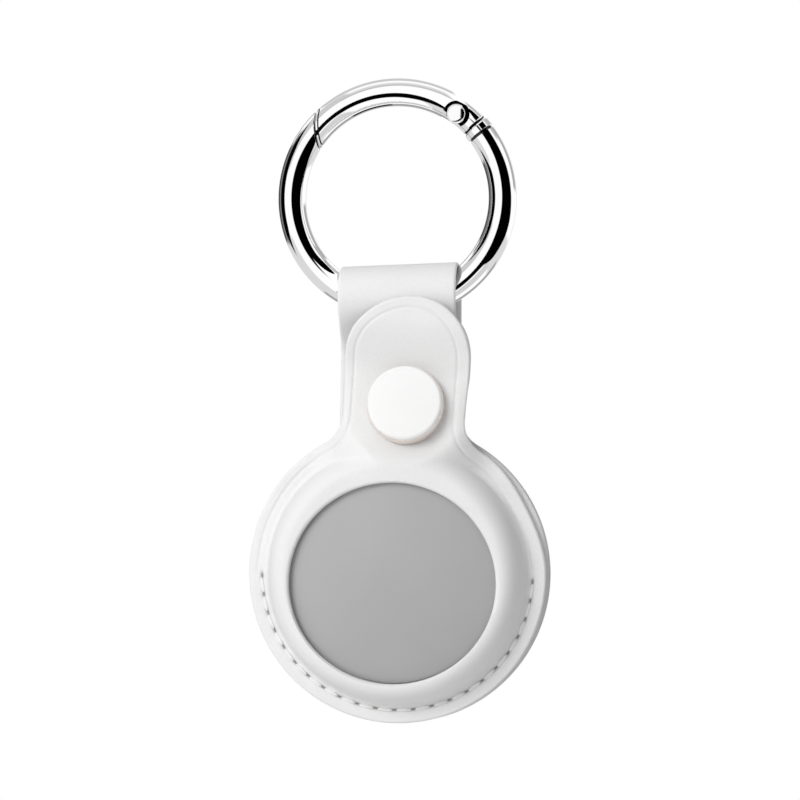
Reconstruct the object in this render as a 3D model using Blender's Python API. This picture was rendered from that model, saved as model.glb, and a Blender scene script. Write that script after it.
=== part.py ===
# Leather tracker tag holder on a spring-gate ring, hanging upright.
# The origin is the inside top of the ring's bore, where a hook holds it. The front faces -Y.
import math

import bmesh
import bpy
from mathutils import Matrix, Vector

# Ring
RING_BORE_RADIUS = 0.0125
WIRE_RADIUS = 0.0019
PIN_INSET = 0.00043
PIN_ANGLE = math.radians(53.8)
SEAM_ANGLE = math.radians(42.3)
NOTCH_ANGLE = math.radians(61.6)
LATCH_ANGLE_OUTER = math.radians(132.5)
LATCH_ANGLE_INNER = math.radians(147.5)
SEAM_GAP = 0.0003
COLLAR_LENGTH = 0.0010
GROOVE_DEPTH = 0.00012
GROOVE_WIDTH = 0.00015
TANG_THICKNESS = 0.0011
TANG_CLEARANCE = 0.0002
TANG_EYE_WALL = 0.00065
PIN_SHAFT_RADIUS = 0.0007
PIN_HEAD_RADIUS = 0.00132
PIN_HEAD_THICKNESS = 0.00045
PIN_CLEARANCE = 0.00006
PIN_HEAD_GAP = 0.00003
SPOT_FACE_MARGIN = 0.00047
SPOT_FACE_DEPTH = 0.00045
PLUNGER_RADIUS = 0.00062
PLUNGER_LENGTH = 0.0014
PLUNGER_CLEARANCE = 0.00018
GATE_BORE_WALL = 0.00033
GATE_SPRING_INSET = 0.00014
GATE_SPRING_WIRE_RADIUS = 0.00011
GATE_SPRING_TURNS = 6
CUT_OVERRUN = 0.0030

# Tag
TAG_RADIUS = 0.01595
COVER_INSET = 0.00145
COVER_THICKNESS = 0.0004
COVER_DROP = 0.0006
COVER_GAP = 0.0002
SKIRT_INSET = 0.0014
SKIRT_LENGTH = 0.0016
SHELL_WALL = 0.0010
TRAY_INSET = 0.0003
TRAY_THICKNESS = 0.0005
CELL_INSET = 0.0028
CELL_THICKNESS = 0.0032
BOARD_INSET = 0.0002
BOARD_THICKNESS = 0.0005
BOARD_HOLE_RADIUS = 0.0042
CONTACT_THICKNESS = 0.00015
CONTACT_RADIUS = 0.0040
CONTACT_HOLE_RADIUS = 0.0012
CONTACT_SPACE = 0.00045
SPEAKER_DEPTH = 0.00125
MAGNET_RADIUS = 0.0026
COIL_CLEARANCE = 0.0003
COIL_WIDTH = 0.0006

# Holder
PANEL_THICKNESS = 0.0013
TOUCH_GAP = 0.0003
SEAT_GAP = 0.00015
PARTING_Y = 0.0009
TAG_CLEARANCE = 0.00025
TAG_SEAT = 0.00065
WINDOW_OVERLAP = 0.00195
WINDOW_FLATTENING = 0.00045
WINDOW_DROP = 0.00105
WINDOW_LIP = 0.0001
DOME_SHOULDER = 0.00145
DOME_FILLET = 0.0006
DOME_SWEEP = math.radians(80.0)
STITCH_CLEARANCE = 0.0002
EDGE_MARGIN = 0.0018
SHOULDER_FILLET = 0.0050
NECK_HALF_WIDTH = 0.0077
NECK_DROP = 0.01245
TONGUE_HALF_WIDTH = 0.00815
TONGUE_REACH = 0.01545
TONGUE_LEAN = math.radians(3.0)
HINGE_GAP = 0.0003
REAR_BULGE = 0.0020
REAR_BULGE_MARGIN = 0.00165
REAR_BULGE_RUN = 0.0046
STRAP_HALF_WIDTH = 0.0080
STRAP_THICKNESS = 0.0009
STRAP_ROOT_INSET = 0.0021
LOOP_CLEARANCE = 0.0003
LOOP_OVERTURN = math.radians(12)
LEAF_MEET_DROP = 0.0090
LEAF_TAIL_DROP = 0.00505
STITCH_COUNT = 22
THREAD_RADIUS = 0.00018
THREAD_CLEARANCE = 0.00022

# Press stud
SNAP_RISE = 0.00215
STUD_FLANGE_RADIUS = 0.0034
STUD_FLANGE_THICKNESS = 0.00045
STUD_NECK_RADIUS = 0.00150
STUD_BULB_RADIUS = 0.00175
STUD_STANDOFF = 0.00075
STUD_ENGAGEMENT = 0.0008
STUD_END_GAP = 0.00055
STUD_SIDE_GAP = 0.0005
POST_RADIUS = 0.00085
POST_CLEARANCE = 0.00012
POST_HEAD_RADIUS = 0.0034
POST_HEAD_THICKNESS = 0.00045
SOCKET_RADIUS = 0.0042
SOCKET_THICKNESS = 0.0018
CAP_RADIUS = 0.0051
CAP_THICKNESS = 0.0019
CAP_POST_RADIUS = 0.0010
CAP_EDGE_RADIUS = 0.0007

# Facets
WIRE_SIDES = 16
ROUND_SEGMENTS = 36
SMALL_SEGMENTS = 20
HOLE_SEGMENTS = 6

# Ring, worked out
WIRE_CENTRE_RADIUS = RING_BORE_RADIUS + WIRE_RADIUS
RING_CENTRE_Z = -RING_BORE_RADIUS
PIN_CIRCLE_RADIUS = WIRE_CENTRE_RADIUS - PIN_INSET
TANG_EYE_RADIUS = PIN_SHAFT_RADIUS + TANG_EYE_WALL
SLOT_WIDTH = TANG_THICKNESS + 2 * TANG_CLEARANCE
SPOT_FACE_RADIUS = PIN_HEAD_RADIUS + SPOT_FACE_MARGIN
SPOT_FACE_HALF_DEPTH = WIRE_RADIUS - SPOT_FACE_DEPTH
GATE_BORE_RADIUS = PLUNGER_RADIUS + PLUNGER_CLEARANCE
GATE_BORE_RISE = WIRE_RADIUS - GATE_BORE_RADIUS - GATE_BORE_WALL
GATE_BORE_LENGTH = math.sqrt(2 * WIRE_CENTRE_RADIUS * GATE_BORE_RISE)
GATE_SPRING_RADIUS = PLUNGER_RADIUS - GATE_SPRING_INSET

# Tag, worked out. Its thickness is the stack of what it holds.
COVER_RADIUS = TAG_RADIUS - COVER_INSET
COVER_SKIRT_RADIUS = COVER_RADIUS - SKIRT_INSET
TRAY_RADIUS = COVER_SKIRT_RADIUS - TRAY_INSET
BOARD_RADIUS = TRAY_RADIUS - BOARD_INSET
CELL_RADIUS = TRAY_RADIUS - CELL_INSET
COVER_RIM = COVER_DROP + COVER_THICKNESS
CELL_FRONT = COVER_RIM + COVER_GAP
CELL_BACK = CELL_FRONT + CELL_THICKNESS
TRAY_FRONT = CELL_BACK + CONTACT_SPACE
BOARD_FRONT = TRAY_FRONT + TRAY_THICKNESS + COVER_GAP
SPEAKER_BACK = BOARD_FRONT + SPEAKER_DEPTH
TAG_THICKNESS = SPEAKER_BACK + COVER_GAP + SHELL_WALL

# Pocket, worked out round the tag
FRONT_FLANGE_Y = PARTING_Y - TOUCH_GAP / 2 - PANEL_THICKNESS
REAR_PANEL_MID_Y = PARTING_Y + TOUCH_GAP / 2 + PANEL_THICKNESS / 2
TAG_REAR_Y = PARTING_Y + TOUCH_GAP / 2 + REAR_BULGE - TOUCH_GAP
TAG_FRONT_Y = TAG_REAR_Y - TAG_THICKNESS
WINDOW_HALF_WIDTH = TAG_RADIUS - WINDOW_OVERLAP
WINDOW_HALF_HEIGHT = WINDOW_HALF_WIDTH - WINDOW_FLATTENING
DOME_FRONT_Y = TAG_FRONT_Y + COVER_RIM - TAG_SEAT - PANEL_THICKNESS
DOME_TOP_RADIUS = TAG_RADIUS - DOME_SHOULDER
DOME_WALL_WIDTH = DOME_SHOULDER + TAG_CLEARANCE + PANEL_THICKNESS
DOME_FOOT_RADIUS = DOME_TOP_RADIUS + DOME_WALL_WIDTH + DOME_FILLET
STITCH_RADIUS = DOME_FOOT_RADIUS + STITCH_CLEARANCE
STITCH_HOLE_RADIUS = THREAD_RADIUS + THREAD_CLEARANCE
BODY_RADIUS = STITCH_RADIUS + EDGE_MARGIN
REAR_BULGE_RADIUS = TAG_RADIUS + REAR_BULGE_MARGIN
REAR_FLAT_RADIUS = REAR_BULGE_RADIUS - REAR_BULGE_RUN

# Neck, worked out upwards from the pocket. Heights are over the body's centre.
STRAP_ROOT_HEIGHT = BODY_RADIUS - STRAP_ROOT_INSET
SNAP_HEIGHT = BODY_RADIUS + SNAP_RISE
LEAF_TAIL_HEIGHT = SNAP_HEIGHT - LEAF_TAIL_DROP
TONGUE_HEIGHT = SNAP_HEIGHT + TONGUE_REACH
BODY_CENTRE_Z = RING_CENTRE_Z - WIRE_CENTRE_RADIUS - WIRE_RADIUS - NECK_DROP - SNAP_HEIGHT
SNAP_X = SNAP_HEIGHT * math.sin(TONGUE_LEAN)
SNAP_Z = BODY_CENTRE_Z + SNAP_HEIGHT * math.cos(TONGUE_LEAN)

# Loop, worked out. The swing axis is the middle of the wire's spread across the strap's width.
WIRE_LOW = -(WIRE_CENTRE_RADIUS + WIRE_RADIUS)
WIRE_HIGH = -math.sqrt(RING_BORE_RADIUS ** 2 - STRAP_HALF_WIDTH ** 2)
LOOP_CENTRE_Z = RING_CENTRE_Z + (WIRE_LOW + WIRE_HIGH) / 2
LOOP_INNER_RADIUS = (WIRE_HIGH - WIRE_LOW) / 2 + LOOP_CLEARANCE
LOOP_MID_RADIUS = LOOP_INNER_RADIUS + STRAP_THICKNESS / 2
LEAF_PITCH = PANEL_THICKNESS / 2 + TOUCH_GAP + STRAP_THICKNESS / 2

# Press stud, worked out. Depths run forwards from the front leaf.
SOCKET_MOUTH = SEAT_GAP + STUD_FLANGE_THICKNESS + STUD_STANDOFF
SOCKET_BORE_RADIUS = STUD_BULB_RADIUS + STUD_SIDE_GAP
SOCKET_FLOOR = SOCKET_MOUTH + STUD_ENGAGEMENT + STUD_END_GAP
STUD_HEIGHT = SOCKET_MOUTH + STUD_ENGAGEMENT
SNAP_STACK = SOCKET_MOUTH + SOCKET_THICKNESS + SEAT_GAP


def clear_scene():
    for item in list(bpy.data.objects):
        bpy.data.objects.remove(item, do_unlink=True)


def material(name, colour, roughness, metallic):
    found = bpy.data.materials.get(name)
    if found:
        return found
    made = bpy.data.materials.new(name)
    made.use_nodes = True
    shader = made.node_tree.nodes["Principled BSDF"]
    shader.inputs["Base Color"].default_value = (*colour, 1)
    shader.inputs["Roughness"].default_value = roughness
    shader.inputs["Metallic"].default_value = metallic
    return made


def chrome():
    return material("chrome", (0.80, 0.80, 0.82), 0.08, 1)


def steel():
    return material("steel", (0.45, 0.45, 0.46), 0.35, 1)


def leather():
    return material("white_leather", (0.86, 0.86, 0.85), 0.55, 0)


def white_plastic():
    return material("white_plastic", (0.90, 0.90, 0.90), 0.25, 0)


def thread():
    return material("thread", (0.82, 0.82, 0.80), 0.80, 0)


def board_green():
    return material("board", (0.05, 0.22, 0.12), 0.50, 0)


def copper():
    return material("copper", (0.72, 0.38, 0.22), 0.35, 1)


def place(name, mesh, finish, origin, parent=None):
    """Makes the object, keeps its mesh where it was built and moves its origin."""
    made = bpy.data.objects.new(name, mesh)
    mesh.transform(Matrix.Translation(-Vector(origin)))
    mesh.materials.append(finish)
    mesh.shade_smooth()
    mesh.set_sharp_from_angle(angle=math.radians(35))
    bpy.context.scene.collection.objects.link(made)
    made.location = origin
    if parent:
        made.parent = parent
        made.location = Vector(origin) - parent.location
    return made


def hide_cutter(cutter):
    cutter.hide_render = True
    cutter.display_type = "WIRE"


def combine(target, tool, operation):
    cut = target.modifiers.new(tool.name, "BOOLEAN")
    cut.operation = operation
    cut.solver = "EXACT"
    cut.object = tool
    hide_cutter(tool)


def grid_mesh(name, rows):
    """Joins closed rows of points into a skin, and closes its first and last row."""
    body = bmesh.new()
    points = [[body.verts.new(point) for point in row] for row in rows]
    for near, far in zip(points, points[1:]):
        for j in range(len(near)):
            k = (j + 1) % len(near)
            body.faces.new((near[j], near[k], far[k], far[j]))
    body.faces.new(list(reversed(points[0])))
    body.faces.new(points[-1])
    return finished(name, body)


def finished(name, body):
    bmesh.ops.recalc_face_normals(body, faces=body.faces)
    if body.calc_volume(signed=True) < 0:
        bmesh.ops.reverse_faces(body, faces=body.faces)
    mesh = bpy.data.meshes.new(name)
    body.to_mesh(mesh)
    body.free()
    return mesh


def turned(name, profile, frame, segments=ROUND_SEGMENTS):
    """Turns (radius, depth) points about the frame's Y axis. Depth runs along +Y."""
    body = bmesh.new()
    rings = []
    for radius, depth in profile:
        if radius == 0:
            rings.append([body.verts.new(frame @ Vector((0, depth, 0)))])
            continue
        ring = []
        for k in range(segments):
            turn = math.tau * k / segments
            spot = Vector((radius * math.cos(turn), depth, radius * math.sin(turn)))
            ring.append(body.verts.new(frame @ spot))
        rings.append(ring)
    closed = profile[0][0] != 0
    total = len(rings) if closed else len(rings) - 1
    for i in range(total):
        near = rings[i]
        far = rings[(i + 1) % len(rings)]
        for k in range(segments):
            n = (k + 1) % segments
            if len(near) == 1:
                body.faces.new((near[0], far[k], far[n]))
            elif len(far) == 1:
                body.faces.new((near[k], far[0], near[n]))
            else:
                body.faces.new((near[k], far[k], far[n], near[n]))
    return finished(name, body)


def frame_at(x, y, z, tilt=0):
    """A frame whose Y axis runs to the back of the object, tipped so its front looks up by tilt."""
    return Matrix.Translation((x, y, z)) @ Matrix.Rotation(-tilt, 4, "X")


def ring_point(radius, angle, y=0):
    return Vector((radius * math.cos(angle), y, RING_CENTRE_Z + radius * math.sin(angle)))


def latch_angle(radius, side):
    """The slanted latch cut: its angle at a radius, moved to one side by half of the gap."""
    share = (WIRE_CENTRE_RADIUS + WIRE_RADIUS - radius) / (2 * WIRE_RADIUS)
    angle = LATCH_ANGLE_OUTER + (LATCH_ANGLE_INNER - LATCH_ANGLE_OUTER) * share
    return angle + side * SEAM_GAP / 2 / radius


def wire_section(k, wire_radius):
    turn = math.tau * k / WIRE_SIDES
    return WIRE_CENTRE_RADIUS + wire_radius * math.cos(turn), wire_radius * math.sin(turn)


def wire_arc(name, stations, latch_side):
    """Sweeps the wire from the latch cut through (angle, wire radius) stations."""
    rows = []
    for index, (angle, wire_radius) in enumerate(stations):
        row = []
        for k in range(WIRE_SIDES):
            radius, y = wire_section(k, wire_radius)
            turn = latch_angle(radius, latch_side) if index == 0 else angle
            row.append(ring_point(radius, turn, y))
        rows.append(row)
    return grid_mesh(name, rows)


def prism(name, outline, front, back):
    """A flat plate: (x, z) points, from the front depth to the back depth."""
    body = bmesh.new()
    face = body.faces.new([body.verts.new((x, front, z)) for x, z in outline])
    pushed = bmesh.ops.extrude_face_region(body, geom=[face])
    moved = [item for item in pushed["geom"] if isinstance(item, bmesh.types.BMVert)]
    bmesh.ops.translate(body, verts=moved, vec=(0, back - front, 0))
    return finished(name, body)


def cylinder(name, start, end, radius, segments=SMALL_SEGMENTS):
    """A plain rod between two points."""
    along = Vector(end) - Vector(start)
    turn = Vector((0, 1, 0)).rotation_difference(along).to_matrix().to_4x4()
    frame = Matrix.Translation(start) @ turn
    return turned(name, [(0, 0), (radius, 0), (radius, along.length), (0, along.length)], frame, segments)


def cutter_object(name, mesh):
    made = bpy.data.objects.new(name, mesh)
    bpy.context.scene.collection.objects.link(made)
    hide_cutter(made)
    return made


def pin_centre(y=0):
    return ring_point(PIN_CIRCLE_RADIUS, PIN_ANGLE, y)


def make_ring_body():
    """Cast ring: from the latch cut down, round and up to the collar and the tang."""
    shoulder = SEAM_ANGLE - SEAM_GAP / 2 / WIRE_CENTRE_RADIUS + math.tau
    collar = shoulder - COLLAR_LENGTH / WIRE_CENTRE_RADIUS
    groove = GROOVE_WIDTH / WIRE_CENTRE_RADIUS
    start = (LATCH_ANGLE_OUTER + LATCH_ANGLE_INNER) / 2
    first = LATCH_ANGLE_INNER + 4 * SEAM_GAP / WIRE_CENTRE_RADIUS
    steps = 44
    stations = [(start, WIRE_RADIUS)]
    for k in range(steps + 1):
        stations.append((first + (collar - 3 * groove - first) * k / steps, WIRE_RADIUS))
    stations.append((collar - 2 * groove, WIRE_RADIUS - GROOVE_DEPTH))
    stations.append((collar - groove, WIRE_RADIUS - GROOVE_DEPTH))
    stations.append((collar, WIRE_RADIUS))
    stations.append((shoulder, WIRE_RADIUS))
    mesh = wire_arc("ring_body", stations, 1)
    ring = place("ring_body", mesh, chrome(), ring_point(0, 0))
    combine(ring, cutter_object("tang_solid", tang_mesh()), "UNION")
    pin_hole = cylinder("ring_pin_hole", pin_centre(-CUT_OVERRUN), pin_centre(CUT_OVERRUN),
                        PIN_SHAFT_RADIUS + PIN_CLEARANCE)
    combine(ring, cutter_object("ring_pin_hole", pin_hole), "DIFFERENCE")
    return ring


def tang_mesh():
    """Flat tang: from inside the collar to an eye round the pin."""
    pin = pin_centre()
    root = ring_point(WIRE_CENTRE_RADIUS, SEAM_ANGLE - COLLAR_LENGTH / WIRE_CENTRE_RADIUS)
    along = (pin - root).normalized()
    side = Vector((-along.z, 0, along.x))
    outline = []
    half_turn_steps = 12
    for k in range(half_turn_steps + 1):
        turn = math.pi / 2 - math.pi * k / half_turn_steps
        spot = pin + along * (TANG_EYE_RADIUS * math.cos(turn)) + side * (TANG_EYE_RADIUS * math.sin(turn))
        outline.append((spot.x, spot.z))
    for sign in (-1, 1):
        spot = root + side * (sign * TANG_EYE_RADIUS)
        outline.append((spot.x, spot.z))
    return prism("tang_solid", outline, -TANG_THICKNESS / 2, TANG_THICKNESS / 2)


def gate_tangent():
    """Runs along the gate, away from the hinge, at the notch."""
    return Vector((-math.sin(NOTCH_ANGLE), 0, math.cos(NOTCH_ANGLE)))


def make_gate(pivot):
    """Top arc of the ring: slanted at the latch, forked and spot faced at the hinge."""
    end = SEAM_ANGLE + SEAM_GAP / 2 / WIRE_CENTRE_RADIUS
    start = (LATCH_ANGLE_OUTER + LATCH_ANGLE_INNER) / 2
    first = LATCH_ANGLE_OUTER - 4 * SEAM_GAP / WIRE_CENTRE_RADIUS
    steps = 20
    stations = [(start, WIRE_RADIUS)]
    for k in range(steps + 1):
        stations.append((first + (end - first) * k / steps, WIRE_RADIUS))
    gate = place("gate", wire_arc("gate", stations, -1), chrome(), pin_centre(), pivot)
    combine(gate, cutter_object("gate_slot", slot_mesh()), "DIFFERENCE")
    for name, sign in (("front_spot_face", -1), ("rear_spot_face", 1)):
        near = pin_centre(sign * SPOT_FACE_HALF_DEPTH)
        far = pin_centre(sign * CUT_OVERRUN)
        combine(gate, cutter_object(name, cylinder(name, near, far, SPOT_FACE_RADIUS)), "DIFFERENCE")
    hole = cylinder("gate_pin_hole", pin_centre(-CUT_OVERRUN), pin_centre(CUT_OVERRUN),
                    PIN_SHAFT_RADIUS + PIN_CLEARANCE)
    combine(gate, cutter_object("gate_pin_hole", hole), "DIFFERENCE")
    floor = ring_point(WIRE_CENTRE_RADIUS, NOTCH_ANGLE)
    bore = cylinder("gate_bore", floor - gate_tangent() * WIRE_RADIUS,
                    floor + gate_tangent() * GATE_BORE_LENGTH, GATE_BORE_RADIUS)
    combine(gate, cutter_object("gate_bore", bore), "DIFFERENCE")
    return gate


def slot_mesh():
    """The fork's slot, from its floor at the notch to past the seam."""
    floor = ring_point(WIRE_CENTRE_RADIUS, NOTCH_ANGLE)
    along = gate_tangent()
    side = Vector((-along.z, 0, along.x))
    far = floor - along * (PIN_CIRCLE_RADIUS * (NOTCH_ANGLE - SEAM_ANGLE) + CUT_OVERRUN)
    outline = []
    for centre, sign in ((floor, -1), (floor, 1), (far, 1), (far, -1)):
        spot = centre + side * (sign * 2 * WIRE_RADIUS)
        outline.append((spot.x, spot.z))
    return prism("gate_slot", outline, -SLOT_WIDTH / 2, SLOT_WIDTH / 2)


def make_hinge_pin(pivot):
    """Rivet: shaft and two low heads."""
    inner = SPOT_FACE_HALF_DEPTH + PIN_HEAD_GAP
    outer = inner + PIN_HEAD_THICKNESS
    rim = PIN_HEAD_RADIUS
    crown_share = 0.75
    side_share = 0.6
    half = [
        (rim * crown_share, outer),
        (rim, inner + PIN_HEAD_THICKNESS * side_share),
        (rim, inner),
        (PIN_SHAFT_RADIUS, inner),
    ]
    profile = [(0, -outer)] + [(r, -y) for r, y in half]
    profile += [(r, y) for r, y in reversed(half)] + [(0, outer)]
    mesh = turned("hinge_pin", profile, Matrix.Translation(pin_centre()), SMALL_SEGMENTS)
    place("hinge_pin", mesh, chrome(), pin_centre(), pivot)


def make_plunger_and_spring(pivot):
    """The spring in the gate's bore pushes the plunger onto the tang's eye."""
    along = gate_tangent()
    floor = ring_point(WIRE_CENTRE_RADIUS, NOTCH_ANGLE)
    pin = pin_centre()
    reach = (floor - pin).dot(along)
    tip = floor - along * (reach - TANG_EYE_RADIUS - SEAT_GAP)
    foot = tip + along * PLUNGER_LENGTH
    place("gate_plunger", cylinder("gate_plunger", tip, foot, PLUNGER_RADIUS), steel(), tip, pivot)
    start = foot + along * (GATE_SPRING_WIRE_RADIUS + SEAT_GAP)
    end = floor + along * (GATE_BORE_LENGTH - GATE_SPRING_WIRE_RADIUS - SEAT_GAP)
    side = Vector((-along.z, 0, along.x))
    points_per_turn = 9
    count = GATE_SPRING_TURNS * points_per_turn
    route = []
    for k in range(count + 1):
        turn = math.tau * k / points_per_turn
        ring = side * math.cos(turn) + Vector((0, 1, 0)) * math.sin(turn)
        route.append(start + (end - start) * (k / count) + ring * GATE_SPRING_RADIUS)
    tube("gate_spring", route, GATE_SPRING_WIRE_RADIUS, steel(), 6, pivot)


def tube(name, route, radius, finish, sides, parent=None):
    """A round tube along a list of points, closed at both ends."""
    rows = []
    across = None
    for index, point in enumerate(route):
        ahead = route[min(index + 1, len(route) - 1)]
        behind = route[max(index - 1, 0)]
        along = (ahead - behind).normalized()
        if across is None:
            across = along.orthogonal().normalized()
        across = (across - along * across.dot(along)).normalized()
        other = along.cross(across)
        row = []
        for k in range(sides):
            turn = math.tau * k / sides
            row.append(point + (across * math.cos(turn) + other * math.sin(turn)) * radius)
        rows.append(row)
    return place(name, grid_mesh(name, rows), finish, route[0], parent)


def smooth_step(value):
    held = min(max(value, 0), 1)
    return held * held * (3 - 2 * held)


def neck_fillet(half_width):
    """Centre height of the shoulder fillet that joins the round body to a straight neck."""
    reach = BODY_RADIUS + SHOULDER_FILLET
    return math.sqrt(reach ** 2 - (half_width + SHOULDER_FILLET) ** 2)


def rear_half_width(height):
    """Half width of the rear panel at a height over the body's centre."""
    fillet_z = neck_fillet(STRAP_HALF_WIDTH)
    fillet_x = STRAP_HALF_WIDTH + SHOULDER_FILLET
    tangent_z = fillet_z * BODY_RADIUS / (BODY_RADIUS + SHOULDER_FILLET)
    if height < tangent_z:
        return math.sqrt(max(BODY_RADIUS ** 2 - height ** 2, 0))
    if height < fillet_z:
        return fillet_x - math.sqrt(SHOULDER_FILLET ** 2 - (fillet_z - height) ** 2)
    return STRAP_HALF_WIDTH


def strap_root():
    return Vector((0, REAR_PANEL_MID_Y, BODY_CENTRE_Z + STRAP_ROOT_HEIGHT))


def loop_tangent():
    """Angle on the loop, from +Y towards +Z, where the straight rear leaf meets it."""
    offset = strap_root() - Vector((0, 0, LOOP_CENTRE_Z))
    reach = math.hypot(offset.y, offset.z)
    return math.atan2(offset.z, offset.y) + math.acos(LOOP_MID_RADIUS / reach)


def loop_point(turn):
    across = LOOP_MID_RADIUS * math.cos(turn)
    up = LOOP_MID_RADIUS * math.sin(turn)
    return Vector((0, across, LOOP_CENTRE_Z + up))


def leaf_direction():
    """Up along the straight rear leaf."""
    return (loop_point(loop_tangent()) - strap_root()).normalized()


def leaf_forward():
    """Square to the straight rear leaf, towards the front."""
    up = leaf_direction()
    return Vector((0, -up.z, up.y))


def snap_on_leaf():
    """Point on the front leaf's front face on the press stud's axis."""
    up = leaf_direction()
    root = strap_root()
    spot = root + up * ((SNAP_Z - root.z) / up.z)
    front = spot + leaf_forward() * (LEAF_PITCH + STRAP_THICKNESS / 2)
    return Vector((SNAP_X, front.y, front.z))


def snap_tilt():
    return math.atan2(leaf_direction().y, leaf_direction().z)


def snap_frame(forward):
    """A frame on the press stud's axis, that far in front of the front leaf."""
    spot = snap_on_leaf() + leaf_forward() * forward
    return frame_at(spot.x, spot.y, spot.z, snap_tilt())


def strap_route():
    """Middle line of the bent leather: (point, half width, thickness) from the bottom up and over."""
    rows = []
    rise_steps = 26
    bottom_share = 0.998
    for k in range(rise_steps + 1):
        share = k / rise_steps
        turn = math.acos(-bottom_share) * (1 - share)
        height = BODY_RADIUS * math.cos(turn)
        if height > STRAP_ROOT_HEIGHT:
            break
        rows.append((Vector((0, REAR_PANEL_MID_Y, BODY_CENTRE_Z + height)),
                     rear_half_width(height), PANEL_THICKNESS))
    root = strap_root()
    tangent = loop_tangent()
    straight = loop_point(tangent) - root
    straight_steps = 7
    for k in range(straight_steps):
        share = k / straight_steps
        spot = root + straight * share
        thickness = PANEL_THICKNESS + (STRAP_THICKNESS - PANEL_THICKNESS) * smooth_step(2 * share - 1)
        rows.append((spot, rear_half_width(spot.z - BODY_CENTRE_Z), thickness))
    loop_steps = 14
    loop_end = math.pi + tangent + LOOP_OVERTURN
    for k in range(loop_steps + 1):
        turn = tangent + (loop_end - tangent) * k / loop_steps
        rows.append((loop_point(turn), STRAP_HALF_WIDTH, STRAP_THICKNESS))
    rows += front_leaf_rows(loop_end)
    return rows


def front_leaf_rows(loop_end):
    """From the loop the front leaf curves back to the rear leaf and lies along it."""
    up = leaf_direction()
    start = loop_point(loop_end)
    heading = Vector((0, -math.sin(loop_end), math.cos(loop_end)))
    meet_z = LOOP_CENTRE_Z - LEAF_MEET_DROP
    root = strap_root()
    meet = root + up * ((meet_z - root.z) / up.z) + leaf_forward() * LEAF_PITCH
    reach = (meet - start).length
    rows = []
    bend_steps = 8
    for k in range(1, bend_steps + 1):
        t = k / bend_steps
        spot = start * (2 * t ** 3 - 3 * t ** 2 + 1) + heading * (reach * (t ** 3 - 2 * t ** 2 + t))
        spot += meet * (3 * t ** 2 - 2 * t ** 3) - up * (reach * (t ** 3 - t ** 2))
        rows.append((spot, STRAP_HALF_WIDTH, STRAP_THICKNESS))
    tail_z = BODY_CENTRE_Z + LEAF_TAIL_HEIGHT
    tail = meet + up * ((tail_z - meet.z) / up.z)
    tail_steps = 3
    for k in range(1, tail_steps + 1):
        rows.append((meet + (tail - meet) * (k / tail_steps), STRAP_HALF_WIDTH, STRAP_THICKNESS))
    return rows


def rear_bulge(x, z):
    radius = math.hypot(x, z - BODY_CENTRE_Z)
    return REAR_BULGE * smooth_step((REAR_BULGE_RADIUS - radius) / (REAR_BULGE_RADIUS - REAR_FLAT_RADIUS))


def make_back_panel():
    """One piece of leather: rear panel, strap, loop over the ring and front leaf."""
    route = strap_route()
    column_steps = 24
    front = []
    back = []
    for index, (spot, half_width, thickness) in enumerate(route):
        ahead = route[min(index + 1, len(route) - 1)][0]
        behind = route[max(index - 1, 0)][0]
        along = (ahead - behind).normalized()
        outward = Vector((0, along.z, -along.y))
        front_row = []
        back_row = []
        on_body = spot.z < BODY_CENTRE_Z + STRAP_ROOT_HEIGHT and index < len(route) / 2
        for k in range(column_steps + 1):
            x = half_width * math.sin(math.pi * (k / column_steps - 1 / 2))
            middle = spot + Vector((x, 0, 0))
            if on_body:
                middle.y += rear_bulge(x, spot.z)
            front_row.append(middle - outward * (thickness / 2))
            back_row.append(middle + outward * (thickness / 2))
        front.append(front_row)
        back.append(back_row)
    rows = [front_row + list(reversed(back_row)) for front_row, back_row in zip(front, back)]
    mesh = grid_mesh("back_panel", rows)
    panel = place("back_panel", mesh, leather(), (0, 0, LOOP_CENTRE_Z))
    start = snap_frame(CUT_OVERRUN) @ Vector((0, 0, 0))
    end = snap_frame(-2 * CUT_OVERRUN) @ Vector((0, 0, 0))
    stud_hole = cylinder("stud_hole", start, end, POST_RADIUS + POST_CLEARANCE)
    cut_holes(panel, "rear_hole", stud_hole)
    return panel


def stitch_place(index):
    """Point of one needle hole in the parting plane: they run from 9 to 3 o'clock along the bottom."""
    turn = math.pi + math.pi * index / STITCH_COUNT
    inset = HINGE_GAP / 2 + 2 * STITCH_HOLE_RADIUS
    z = min(STITCH_RADIUS * math.sin(turn), -inset)
    return Vector((STITCH_RADIUS * math.cos(turn), PARTING_Y, BODY_CENTRE_Z + z))


def cut_holes(panel, name, stud_hole=None):
    """All needle holes and the stud's hole, as one cutter of separate rods."""
    body = bmesh.new()
    if stud_hole:
        body.from_mesh(stud_hole)
    for index in range(STITCH_COUNT + 1):
        spot = stitch_place(index)
        made = bmesh.ops.create_cone(body, cap_ends=True, segments=HOLE_SEGMENTS,
                                     radius1=STITCH_HOLE_RADIUS, radius2=STITCH_HOLE_RADIUS,
                                     depth=2 * CUT_OVERRUN)
        turn = Matrix.Translation(spot) @ Matrix.Rotation(math.pi / 2, 4, "X")
        bmesh.ops.transform(body, matrix=turn, verts=made["verts"])
    combine(panel, cutter_object(name, finished(name, body)), "DIFFERENCE")


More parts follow.
